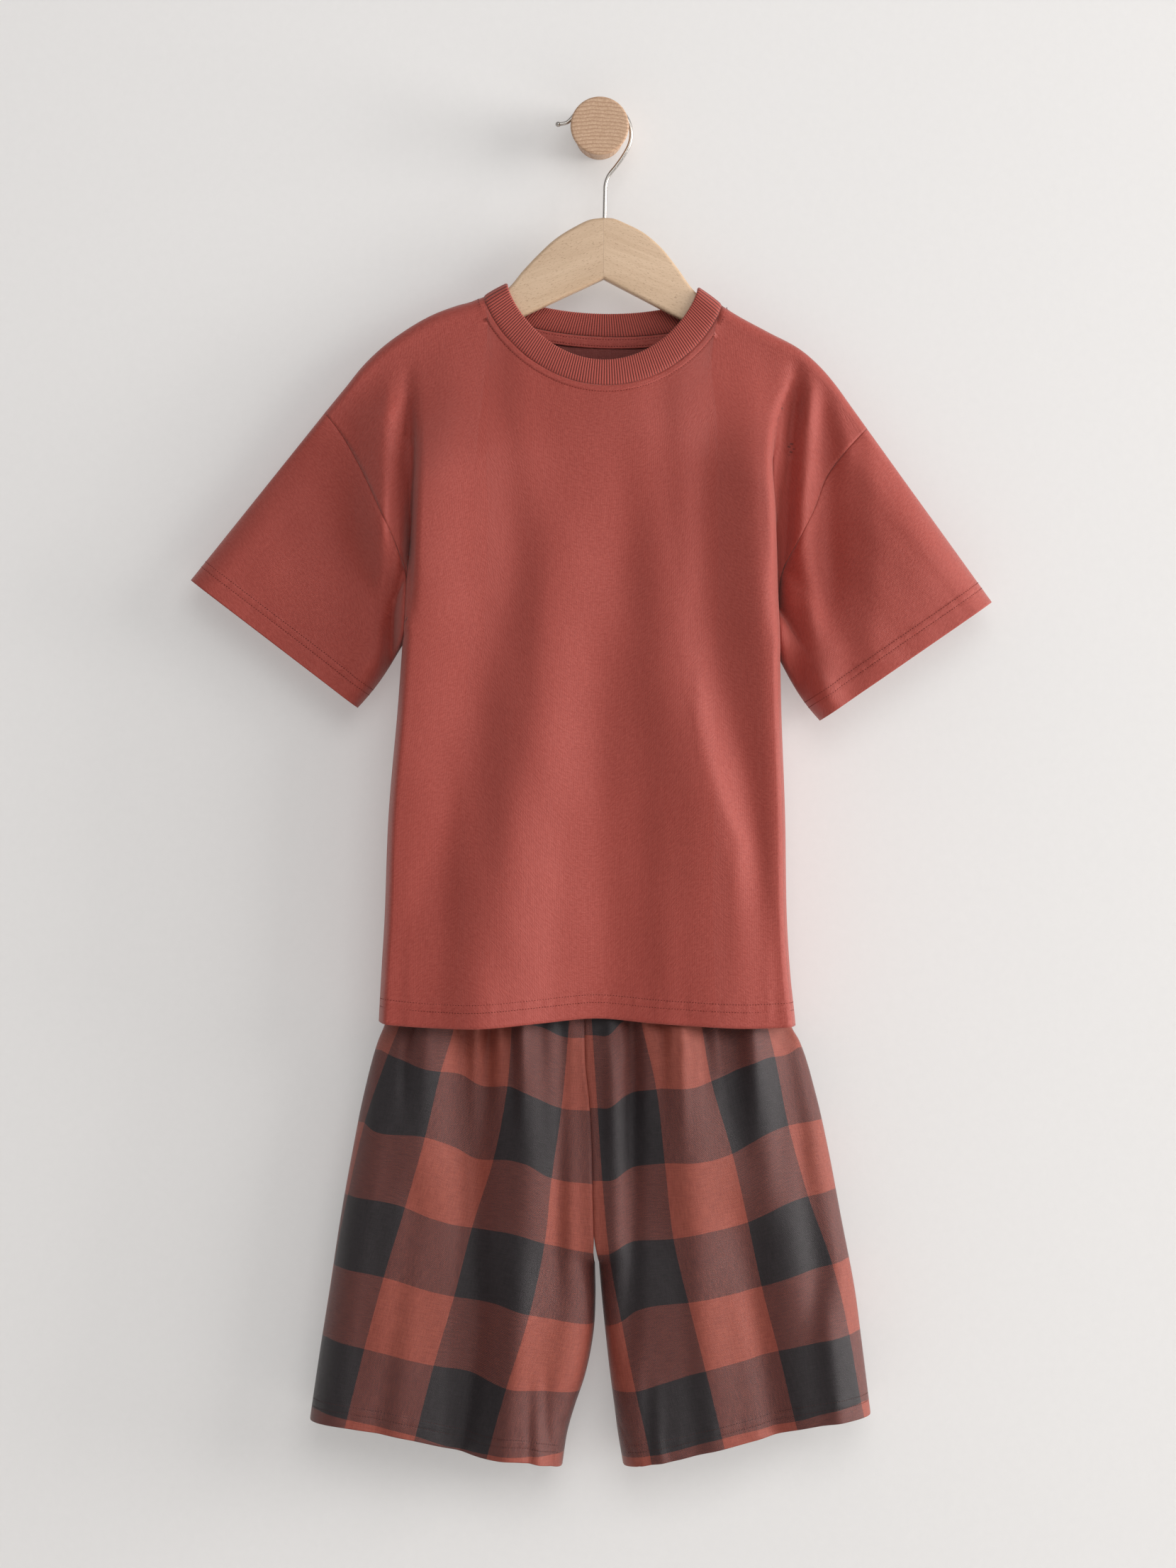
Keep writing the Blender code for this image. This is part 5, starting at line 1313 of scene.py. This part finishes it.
def stitches(name, lines, finish, closed=False):
    """Rows of separate stitches along lines of (points, normals)."""
    points, faces = [], []
    for line, up in lines:
        if closed:
            line, up = np.concatenate([line, line[:1]]), np.concatenate([up, up[:1]])
        length = np.concatenate([[0], np.cumsum(np.linalg.norm(np.diff(line, axis=0), axis=1))])
        count = max(2, int(length[-1] / STITCH_PITCH))
        middles = (np.arange(count) + 0.5) / count * length[-1]
        for at in middles:
            ends = [np.array([np.interp(at + half, length, column) for column in line.T])
                    for half in (-STITCH_LENGTH / 2, STITCH_LENGTH / 2)]
            lift = np.array([np.interp(at, length, column) for column in up.T])
            run = ends[1] - ends[0]
            side = np.cross(run, lift)
            side *= STITCH_RADIUS / max(np.linalg.norm(side), 1e-9)
            first = len(points)
            points.append(ends[0] - lift * STITCH_RADIUS * STITCH_DIP)
            for place, radius, height in STITCH_RINGS:
                middle = (ends[0] + ends[1]) / 2 + run * place
                middle = middle + lift * STITCH_RADIUS * (height - 0.5)
                points.extend([middle + side * radius, middle + lift * STITCH_RADIUS * radius,
                               middle - side * radius, middle - lift * STITCH_RADIUS * radius])
            points.append(ends[1] - lift * STITCH_RADIUS * STITCH_DIP)
            last = first + 1 + RING * len(STITCH_RINGS)
            for k in range(RING):
                turn = (k + 1) % RING
                faces.append((first, first + 1 + turn, first + 1 + k))
                for low in (first + 1, first + 1 + RING):
                    faces.append((low + k, low + turn, low + RING + turn, low + RING + k))
                faces.append((last - RING + k, last - RING + turn, last))
    return add_mesh(name, np.array(points), faces, finish)


def hem_line(hem, distance, margin):
    """Points (x, z) at a distance above a hem, from margin inside its ends."""
    x = np.linspace(hem["x"][0] + margin, hem["x"][-1] - margin, 400)
    return joined(x, z_at(hem, x) + distance)


def make_shirt_stitches():
    for side in SIDES:
        depth = partial(shirt_depth, side)
        hems = [hem_line(SHIRT_HEM[side], row, HEM_MARGIN["shirt"]) for row in SHIRT_STITCHES]
        lines = [over(depth, line, JERSEY, side) for line in hems]
        stitches("shirt_" + side + "_hem_stitches", lines, THREAD_FINISH)
        seam = neck_seam(side, neck_steps(400, 0.99))
        run = unit(np.gradient(seam, axis=0))
        below = seam + joined(run[:, 1], -run[:, 0]) * NECK_STITCH
        stitches("neck_" + side + "_stitches", [over(depth, below, JERSEY, side)], THREAD_FINISH)


def neck_run(line, side, count):
    """Evenly spaced points (x, y, z) along one side of the neck, from left to right."""
    xz = line(side, neck_steps(401))
    length = distances(*xz.T)
    at = (np.arange(count) + 0.5) / count * length[-1]
    even = joined(*(np.interp(at, length, column) for column in xz.T))
    return on_shirt(side, even, detail=False)


BAND_ROWS = np.array([0.0, 0.06, 0.14, 0.26, 0.40, 0.55, 0.70, 0.84, 0.94])    # up its width
BAND_NEAR = 9               # points to each side from which the band's direction is taken
BAND_BELLY = 0.35           # it is this much thicker halfway up
BAND_THIN = 0.55            # share of its thickness at the seam
PINCH = (0.8, 3.0)          # the seam pinches the ribs: from below it, and up over this
RIB_SHARPNESS = 0.6         # below 1, ribs are broad and grooves narrow


def make_neckband():
    """A folded ribbed band: ribs on both sides, and a rounded fold along its free edge."""
    counts = {}
    for side in SIDES:
        length = distances(*neck_seam(side, neck_steps(401)).T)[-1]
        counts[side] = round(length / RIB_PITCH) * RIB_COLUMNS
    seam, edge = (np.concatenate([neck_run(line, "front", counts["front"]),
                                  neck_run(line, "back", counts["back"])[::-1]])
                  for line in (neck_seam, neck_edge))
    width = edge - seam
    height = np.linalg.norm(width, axis=1, keepdims=True)
    upward = width / height
    middle = seam + edge
    forward = np.roll(middle, -BAND_NEAR, axis=0) - np.roll(middle, BAND_NEAR, axis=0)
    outward = unit(np.cross(forward, width))
    phase = np.arange(len(seam)) / RIB_COLUMNS
    rib = np.abs(np.cos(np.pi * phase)) ** RIB_SHARPNESS
    top = height[:, 0] - RIB_HALF - RIB_HEIGHT
    rows, coordinates = [], []

    def add_row(along_width, turn):
        """One row of the section: its place up the band, and its turn from the outside (0) on."""
        pinch = ease((along_width + PINCH[0]) / PINCH[1])
        thick = RIB_HALF + RIB_HEIGHT * rib * pinch
        thick = thick + BAND_BELLY * np.sin(np.pi * along_width / top)
        thick = thick * between(BAND_THIN, 1.0, pinch)
        base = seam + upward * np.maximum(along_width, 0.0)[:, None]
        rows.append(base + outward * (thick * math.cos(turn))[:, None]
                    + upward * (thick * math.sin(turn))[:, None])
        # The third coordinate marks the grooves, where the rib material paints shade.
        groove = between(0.5, 1 - rib, pinch)
        coordinates.append(joined(phase * RIB_PITCH, along_width, groove))

    for share in BAND_ROWS:
        add_row(top * share, 0.0)
    for turn in np.linspace(0, math.pi, 7):
        add_row(top, turn)
    for share in BAND_ROWS[::-1]:
        add_row(top * share, math.pi)
    points = np.array(rows)[::-1]
    index = wrapped(grid(*points.shape[:2]))
    index = np.concatenate([index, index[:1]], axis=0)
    made = add_mesh("neckband_rib", points, quads(index).tolist(), RIB_FINISH,
                    np.array(coordinates)[::-1])
    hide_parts("neckband")
    return made


TAPE_TOP = 0.4              # the tape begins this far below the seam
TAPE_REACH = 0.93           # share of the neck's half width that it covers
TAPE_WALL = 0.8
TAPE_OFF = 0.75             # least distance of its middle from the back's cloth
TAPE_ROLL = (0.45, 0.8)     # height and width of its rolled edges
TAPE_GROOVE = (0.25, 1.5, 0.5)      # depth, distance from the edge and half width of its grooves
TAPE_STITCH_ROWS = (3, 11)


def make_neck_tape():
    """The tape inside the back neck: rolled edges, and a row of stitches along each."""
    seam = neck_seam("back", neck_steps(160, TAPE_REACH))
    tape_end = TAPE_TOP + TAPE_WIDTH
    sunk, groove_place, groove_half = TAPE_GROOVE
    rows = []
    for drop in np.linspace(TAPE_TOP, tape_end, 15):
        points = on_shirt("back", seam + (0.0, -drop), detail=False)
        edge = min(drop - TAPE_TOP, tape_end - drop)
        rolled = TAPE_ROLL[0] * roll(edge / TAPE_ROLL[1])
        groove = sunk * peak(edge - groove_place, groove_half)
        points[:, 1] -= JERSEY / 2 + TAPE_OFF + rolled - groove
        rows.append(points)
    points = np.array(rows)
    made = shell("neck_tape", points, cloth_lengths(points), TAPE_WALL, JERSEY_FINISH)
    normals = normals_of(points)
    lines = [(points[row] + normals[row] * (TAPE_WALL / 2), normals[row])
             for row in TAPE_STITCH_ROWS]
    stitches("neck_tape_stitches", lines, THREAD_FINISH)
    return made


# ---------------------------------------------------------------- the shorts' pieces

LEG_ACROSS = finer(graded((0.12, 3, 1.6), (0.86, 7, 1.0), (1.0, 3, -1.6)), [4] * 3 + [9] * 7
                   + [5] * 3)
LEG_DOWN = finer(graded((0.10, 2, 1.0), (0.46, 3, 1.0), (0.56, 3, -1.5), (1.0, 5, 1.0)),
                 [12] * 2 + [11] * 3 + [4] * 3 + [9] * 4 + [34])
CROTCH_SHARE = 0.56         # share of a leg's rows above the crotch
CENTRE_GAP = 0.12           # half of the gap between the legs at the centre seam
CENTRE_ENDS = 0.85          # share of the rise where the centre seam turns to the inseams
CASING_WALL = 1.6           # the waistband's doubled cloth
CASING_ROOM = 0.6           # distance of the casing's fullest rows from the shirt
CASING_RAISE = 0.9          # its rows stand out this far between its edges
CASING_GATHER = 0.8         # height of its gathers, and how far they drift along it
CASING_INSET = 1.8
WAIST_CLOTH = 1.6           # length of gathered cloth to a length of the casing


def leg_panel(hand):
    """Points (x, z) of one side of a leg, from its outseam to its centre seam and inseam."""
    top_z = WAIST_BOTTOM - WOVEN / 2
    hem = LEG_HEM[hand]
    outer_end, inner_end = (0, -1) if hand == "left" else (-1, 0)
    outer_z = between(top_z, hem["z"][outer_end], LEG_DOWN)
    outer = joined(at_z(SHORTS_EDGE, hand, outer_z), outer_z)
    rise = LEG_DOWN[LEG_DOWN <= CROTCH_SHARE + 1e-9] / CROTCH_SHARE
    rise_z = between(top_z, CROTCH[1], rise)
    seam_x = at_z(CENTRE_SEAM, "x", rise_z) - INWARD[hand] * CENTRE_GAP
    end_x = at_z(LEG_INNER, hand, np.array(CROTCH[1]))
    turned = ease((rise - CENTRE_ENDS) / (1 - CENTRE_ENDS))
    seam_x = seam_x + (end_x - seam_x[-1]) * turned
    below = (LEG_DOWN[LEG_DOWN > CROTCH_SHARE + 1e-9] - CROTCH_SHARE) / (1 - CROTCH_SHARE)
    inseam_z = between(CROTCH[1], hem["z"][inner_end], below)
    inseam_x = at_z(LEG_INNER, hand, inseam_z)
    inner = joined(np.append(seam_x, inseam_x), np.append(rise_z, inseam_z))
    top = between(outer[0], inner[0], LEG_ACROSS[:, None])
    hem_x = between(outer[-1, 0], inner[-1, 0], LEG_ACROSS)
    bottom = joined(hem_x, z_at(hem, hem_x))
    bottom[0], bottom[-1] = outer[-1], inner[-1]
    return patch(top, bottom, outer, inner, LEG_ACROSS, LEG_DOWN)


def make_leg(hand, side):
    depth = partial(shorts_depth, side, hand=hand)
    xz = leg_panel(hand)
    x, z = xz[..., 0], xz[..., 1]
    points = joined(x, depth(x, z), z)
    across, down = check_coordinates(x, z, hand)
    coordinates = joined(across, down, np.zeros_like(across))
    if (hand == "left") == (side == "back"):
        points, coordinates = points[:, ::-1], coordinates[:, ::-1]
    node = f"shorts_{hand}_{side}"
    made = shell(node, points, coordinates, WOVEN, CHECK_FINISH)
    hems = [hem_line(LEG_HEM[hand], row, HEM_MARGIN["shorts"]) for row in SHORTS_STITCHES]
    lines = [over(depth, line, WOVEN, side) for line in hems]
    stitches(node + "_hem_stitches", lines, SHORTS_THREAD_FINISH)
    return made


def make_waistband():
    """The gathered elastic casing: a flattened ring that just meets the inside of the shirt."""
    left, right = (float(at_z(SHORTS_EDGE, hand, np.array(WAIST_BOTTOM))) for hand in HANDS)
    half_width, centre = (right - left) / 2 - WAIST_INSET, (left + right) / 2
    level_x = np.linspace(left + WAIST_LEVEL, right - WAIST_LEVEL, 60)
    count = WAIST_GATHERS * 12
    angle = np.arange(count) / count * 2 * np.pi
    ring_x = centre + half_width * np.sign(np.cos(angle)) * np.abs(np.cos(angle)) ** WAIST_SQUARED
    flat = np.abs(np.sin(angle)) ** WAIST_SQUARED
    half_depth = {}
    for side in SIDES:
        rooms = [room_in_shirt(side, level_x, np.full(60, z)).min()
                 for z in (WAIST_BOTTOM, WAIST_TOP)]
        half_depth[side] = min(rooms) + SHORTS_CLEAR - CASING_ROOM
    half_depth = np.where(np.sin(angle) > 0, half_depth["front"], half_depth["back"])
    rows = []
    for share in np.linspace(0, 1, 15):
        z = between(WAIST_TOP, WAIST_BOTTOM, share)
        casing = CASING_RAISE * math.sin(math.pi * share) ** 0.5
        gather = CASING_GATHER * np.cos(WAIST_GATHERS * angle + CASING_GATHER * np.sin(3 * angle))
        reach = (half_depth - CASING_INSET + gather + casing) * flat
        ring_y = SHORTS_PLANE - np.sign(np.sin(angle)) * reach
        rows.append(joined(ring_x, ring_y, np.full(count, z)))
    points = np.array(rows)[:, ::-1]
    coordinates = cloth_lengths(points) / SQUARE * WAIST_CLOTH
    return shell("shorts_waistband", points, coordinates, CASING_WALL, CHECK_FINISH, ring=True)


# ---------------------------------------------------------------- hanger, hook and knob

MITRE_TOP = (MITRE_X, -67.7)
MITRE_FOOT = (MITRE_X, -114.1)
MITRE_OVERRUN = 6.0         # the arms' outlines run past their joint by this before the cut
MITRE_GAP = 0.05
# Each arm's top from the joint on, where it then hides under the shirt, and its two lower corners.
ARM_TOP = {
    "left": [(-7.5, -69.2), (-17.1, -73.6), (-33.1, -83.4), (-46, -95.1), (-58.2, -108),
             (-69.5, -121.3)],
    "right": [(10.5, -68.3), (18.7, -71.6), (32.6, -78.6), (46.5, -90.3), (58, -104.6),
              (72.8, -124.4)],
}
ARM_HIDDEN_X = {"left": (-84, -100, -116, -132, -147), "right": (88, 104, 120, 134, 148)}
ARM_CORNERS = {"left": ((-57.8, -142.3), (-160.5, -181.0)),
               "right": ((61.6, -144.7), (159.5, -189.0))}
ARM_FOOT = 0.945            # the underside's straight run ends at this share of the tip's x
ARM_BEVEL = 2.6
BALL_TURNS = 28
BALL_ROWS = 16
WIRE_TURNS = 20
KNOB_TURNS = 96


def hanger_outline(hand):
    """One arm of the hanger in its own plane: rounded runs between its real corners."""
    corner, tip = ARM_CORNERS[hand]
    hidden = [(x, float(z_at(SHOULDERS, np.array(x))) - HANGER_DROP) for x in ARM_HIDDEN_X[hand]]
    top = np.array([MITRE_TOP, *ARM_TOP[hand], *hidden])
    outward = -INWARD[hand]
    smooth_top = along(outward * top[:, 0], top[:, 1], np.linspace(0, 1, 70)) * (outward, 1)
    slope = (corner[1] - MITRE_FOOT[1]) / (corner[0] - MITRE_FOOT[0])
    foot_x = tip[0] * ARM_FOOT
    foot = (foot_x, MITRE_FOOT[1] + slope * (foot_x - MITRE_FOOT[0]))
    past = MITRE_X + INWARD[hand] * MITRE_OVERRUN
    underside = np.linspace(foot, MITRE_FOOT, 40)
    return [(past, MITRE_TOP[1]), *smooth_top, tip, *underside, (past, MITRE_FOOT[1])]


def cut_mitre(mesh, hand):
    """Cuts the arm square at the joint and closes the cut."""
    sign = INWARD[hand]
    place = (MITRE_X - sign * MITRE_GAP / 2) * MM
    solid = bmesh.new()
    solid.from_mesh(mesh)
    bmesh.ops.remove_doubles(solid, verts=solid.verts, dist=1e-6)
    everything = solid.verts[:] + solid.edges[:] + solid.faces[:]
    bmesh.ops.bisect_plane(solid, geom=everything, dist=1e-7, plane_co=(place, 0.0, 0.0),
                           plane_no=(sign, 0.0, 0.0), clear_outer=True)
    rim = [edge for edge in solid.edges if edge.is_boundary]
    bmesh.ops.contextual_create(solid, geom=rim)
    bmesh.ops.recalc_face_normals(solid, faces=solid.faces)
    solid.to_mesh(mesh)
    solid.free()


def make_hanger_arm(hand):
    """One bevelled arm, cut at the joint."""
    name = "hanger_" + hand + "_wood"
    outline = hanger_outline(hand)
    flat = bpy.data.curves.new(name, "CURVE")
    flat.dimensions = "2D"
    flat.fill_mode = "BOTH"
    flat.extrude = (HANGER_THICK / 2 - ARM_BEVEL) * MM
    flat.bevel_depth = ARM_BEVEL * MM
    flat.bevel_resolution = 5
    flat.offset = -ARM_BEVEL * MM
    spline = flat.splines.new("POLY")
    spline.points.add(len(outline) - 1)
    for point, (x, z) in zip(spline.points, outline):
        point.co = (x * MM, z * MM, 0.0, 1.0)
    spline.use_cyclic_u = True
    drawn = placed("hanger_curve", flat)
    graph = bpy.context.evaluated_depsgraph_get()
    mesh = bpy.data.meshes.new_from_object(drawn.evaluated_get(graph))
    bpy.data.objects.remove(drawn)
    upright = Matrix(((1, 0, 0, 0), (0, 0, -1, HANG_PLANE * MM), (0, 1, 0, 0), (0, 0, 0, 1)))
    mesh.transform(upright)
    cut_mitre(mesh, hand)
    mesh.name = name
    mesh.materials.append(BEECH_FINISH[hand])
    mesh.shade_smooth()
    mesh.set_sharp_from_angle(angle=math.radians(50))
    made = placed(mesh.name, mesh)
    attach(made, "root")
    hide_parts("hanger_" + hand)


def hook_route():
    """Centre line (x, z) of the wire, from its foot in the hanger to the ball's centre."""
    foot = [(3.7, -68.7), (3.9, -60.0), (4.1, -50.0), (4.6, -41.5), (6.9, -35.4), (12.1, -28.8),
            (17.3, -21.6)]
    centre_x, centre_z = HOOK_CENTRE
    bend = [(centre_x + HOOK_RADIUS * math.cos(a), centre_z + HOOK_RADIUS * math.sin(a))
            for a in np.radians(np.arange(-26, 147, 10.5))]
    end = [(-22.6, 6.6), (-25.0, 4.7), (-28.2, 3.9), (-31.4, 3.5)]
    x, z = np.array(foot + bend + end).T
    steps = distances(x, z)
    at = np.linspace(0, steps[-1], 150)
    return joined(curve(steps, x, at), curve(steps, z, at))


def fans(index, poles):
    """Triangles that close rows of rings, from the pole before them and the pole after them."""
    first = [(poles[0], *pair) for pair in zip(index[0], index[0, 1:])]
    return first + [(poles[1], *pair) for pair in zip(index[-1, 1:], index[-1])]


def make_hook():
    """A round wire along the route, which runs into the ball at its end."""
    route = hook_route()
    run = unit(np.gradient(route, axis=0))
    across = joined(-run[:, 1], run[:, 0])
    points = np.empty((len(route), WIRE_TURNS, 3))
    for i, turn in enumerate(np.arange(WIRE_TURNS) / WIRE_TURNS * 2 * np.pi):
        aside = across * (WIRE_RADIUS * math.cos(turn))
        points[:, i, 0] = route[:, 0] + aside[:, 0]
        points[:, i, 1] = HANG_PLANE + WIRE_RADIUS * math.sin(turn)
        points[:, i, 2] = route[:, 1] + aside[:, 1]
    wire = points.reshape(-1, 3)
    index = wrapped(grid(len(route), WIRE_TURNS))
    faces = quads(index).tolist() + [tuple(index[0, :-1]), tuple(index[-1, :-1][::-1])]
    x, z = route[-1]
    ball = []
    for i in range(1, BALL_ROWS):
        polar = math.pi * i / BALL_ROWS
        for j in range(BALL_TURNS):
            turn = 2 * math.pi * j / BALL_TURNS
            ball.append((x + BALL_RADIUS * math.sin(polar) * math.cos(turn),
                         HANG_PLANE + BALL_RADIUS * math.sin(polar) * math.sin(turn),
                         z + BALL_RADIUS * math.cos(polar)))
    ball += [(x, HANG_PLANE, z + BALL_RADIUS), (x, HANG_PLANE, z - BALL_RADIUS)]
    index = wrapped(grid(BALL_ROWS - 1, BALL_TURNS, len(wire)))
    top = index.max() + 1
    faces += quads(index).tolist() + fans(index, (top, top + 1))
    made = add_mesh("hook_wire", np.concatenate([wire, ball]), faces, STEEL_FINISH)
    made.data.set_sharp_from_angle(angle=math.radians(60))
    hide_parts("hook")


def make_knob():
    """A turned knob: a straight neck from the wall and a wider disc with a rounded edge."""
    disc_back = KNOB_LENGTH - KNOB_DISC_THICK
    edge, back_edge, taper = 1.6, 4.0, 2.6
    neck = KNOB_NECK_RADIUS
    profile = [(0.0, neck - 0.6), (0.6, neck), (disc_back - 2.4, neck),
               (disc_back - 1.2, neck + 0.3), (disc_back - 0.4, neck + 1.0),
               (disc_back, neck + 2.2)]
    for centre, first, reach, rim in (
            (disc_back + back_edge, 180, back_edge, KNOB_DISC_RADIUS - taper - edge),
            (KNOB_LENGTH - edge, 90, edge, KNOB_DISC_RADIUS - edge)):
        for step in range(9):
            angle = math.radians(first - step * 90 / 8)
            profile.append((centre + reach * math.cos(angle), rim + edge * math.sin(angle)))
    profile += [(KNOB_LENGTH, radius) for radius in (17.0, 12.0, 7.0, 2.0)]
    angles = np.arange(KNOB_TURNS) / KNOB_TURNS * 2 * np.pi
    points = [(radius * math.cos(angle), -length, radius * math.sin(angle))
              for length, radius in profile for angle in angles]
    index = wrapped(grid(len(profile), KNOB_TURNS))
    poles = (len(points), len(points) + 1)
    points += [(0.0, 0.0, 0.0), (0.0, -KNOB_LENGTH, 0.0)]
    faces = quads(index)[:, ::-1].tolist() + fans(index[:, ::-1], poles)
    made = add_mesh("knob_wood_turned", np.array(points), faces, KNOB_FINISH)
    made.data.set_sharp_from_angle(angle=math.radians(40))
    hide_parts("knob")


# ---------------------------------------------------------------- assembly

for each_side in SIDES:
    make_shirt_panel(each_side)
make_shirt_stitches()
for each_hand in HANDS:
    make_sleeve(each_hand)
    make_hanger_arm(each_hand)
    for each_side in SIDES:
        make_leg(each_hand, each_side)
make_neckband()
make_neck_tape()
make_waistband()
make_hook()
make_knob()


# ---------------------------------------------------------------- stage, light and camera
# In metres, as Blender has them.

ROOM = 3.0                  # half the width of the wall and the floor
WALL_Y = 0.0006             # just behind the knob's back
WALL_TOP = 2.2
FLOOR_Z = -1.9
FLOOR_FRONT = -4.0
WARM = (1.0, 0.985, 0.96)
NEUTRAL = (1.0, 0.99, 0.98)
# Each light's place, aim, size, power and colour.
LIGHTS = {
    "key": ((3.3, -1.75, 0.4), (0.0, 0.0, -0.5), (1.8, 1.8), 60.0, WARM),
    "edge": ((5.6, -1.1, -0.3), (0.0, 0.0, -0.55), (1.6, 2.3), 210.0, WARM),
    "front": ((0.5, -3.3, 1.0), (0.0, 0.0, -0.5), (2.2, 1.8), 34.0, NEUTRAL),
}
SKY = {"Color": (0.93, 0.92, 0.91, 1.0), "Strength": 0.34}
CAMERA_PLACE = (-0.0088, -2.835, -0.496)
FOCAL_LENGTH = 85.03        # on a sensor SENSOR wide, both in millimetres
SENSOR = 36.0
FARTHEST = 30.0


def plane(name, low, high, finish):
    """A staged rectangle between two opposite corners, upright where their depths agree."""
    (x0, y0, z0), (x1, y1, z1) = low, high
    mesh = bpy.data.meshes.new(name)
    corners = [(x0, y0, z0), (x1, y0, z0), (x1, y1, z1), (x0, y1, z1)]
    mesh.from_pydata(corners, [], [(0, 1, 2, 3)])
    mesh.materials.append(finish)
    placed(name, mesh)


plane("wall", (-ROOM, WALL_Y, FLOOR_Z), (ROOM, WALL_Y, WALL_TOP), wall_material())
plane("floor", (-ROOM, FLOOR_FRONT, FLOOR_Z), (ROOM, ROOM, FLOOR_Z), floor_material())

for name, (place, aim, size, power, colour) in LIGHTS.items():
    light = bpy.data.lights.new(name, "AREA")
    light.shape = "RECTANGLE"
    light.size, light.size_y = size
    light.energy = power
    light.color = colour
    lamp = placed(name, light)
    lamp.location = place
    lamp.rotation_euler = (Vector(aim) - Vector(place)).to_track_quat("-Z", "Y").to_euler()

world = bpy.data.worlds.new("studio")
world.use_nodes = True
for key, value in SKY.items():
    world.node_tree.nodes["Background"].inputs[key].default_value = value
bpy.context.scene.world = world
bpy.context.scene.view_settings.view_transform = "Standard"

lens = bpy.data.cameras.new("photo_view")
lens.lens = FOCAL_LENGTH
lens.sensor_width = SENSOR
lens.clip_end = FARTHEST
camera = placed("photo_view", lens)
camera.location = CAMERA_PLACE
camera.rotation_euler = (math.pi / 2, 0.0, 0.0)
bpy.context.scene.camera = camera
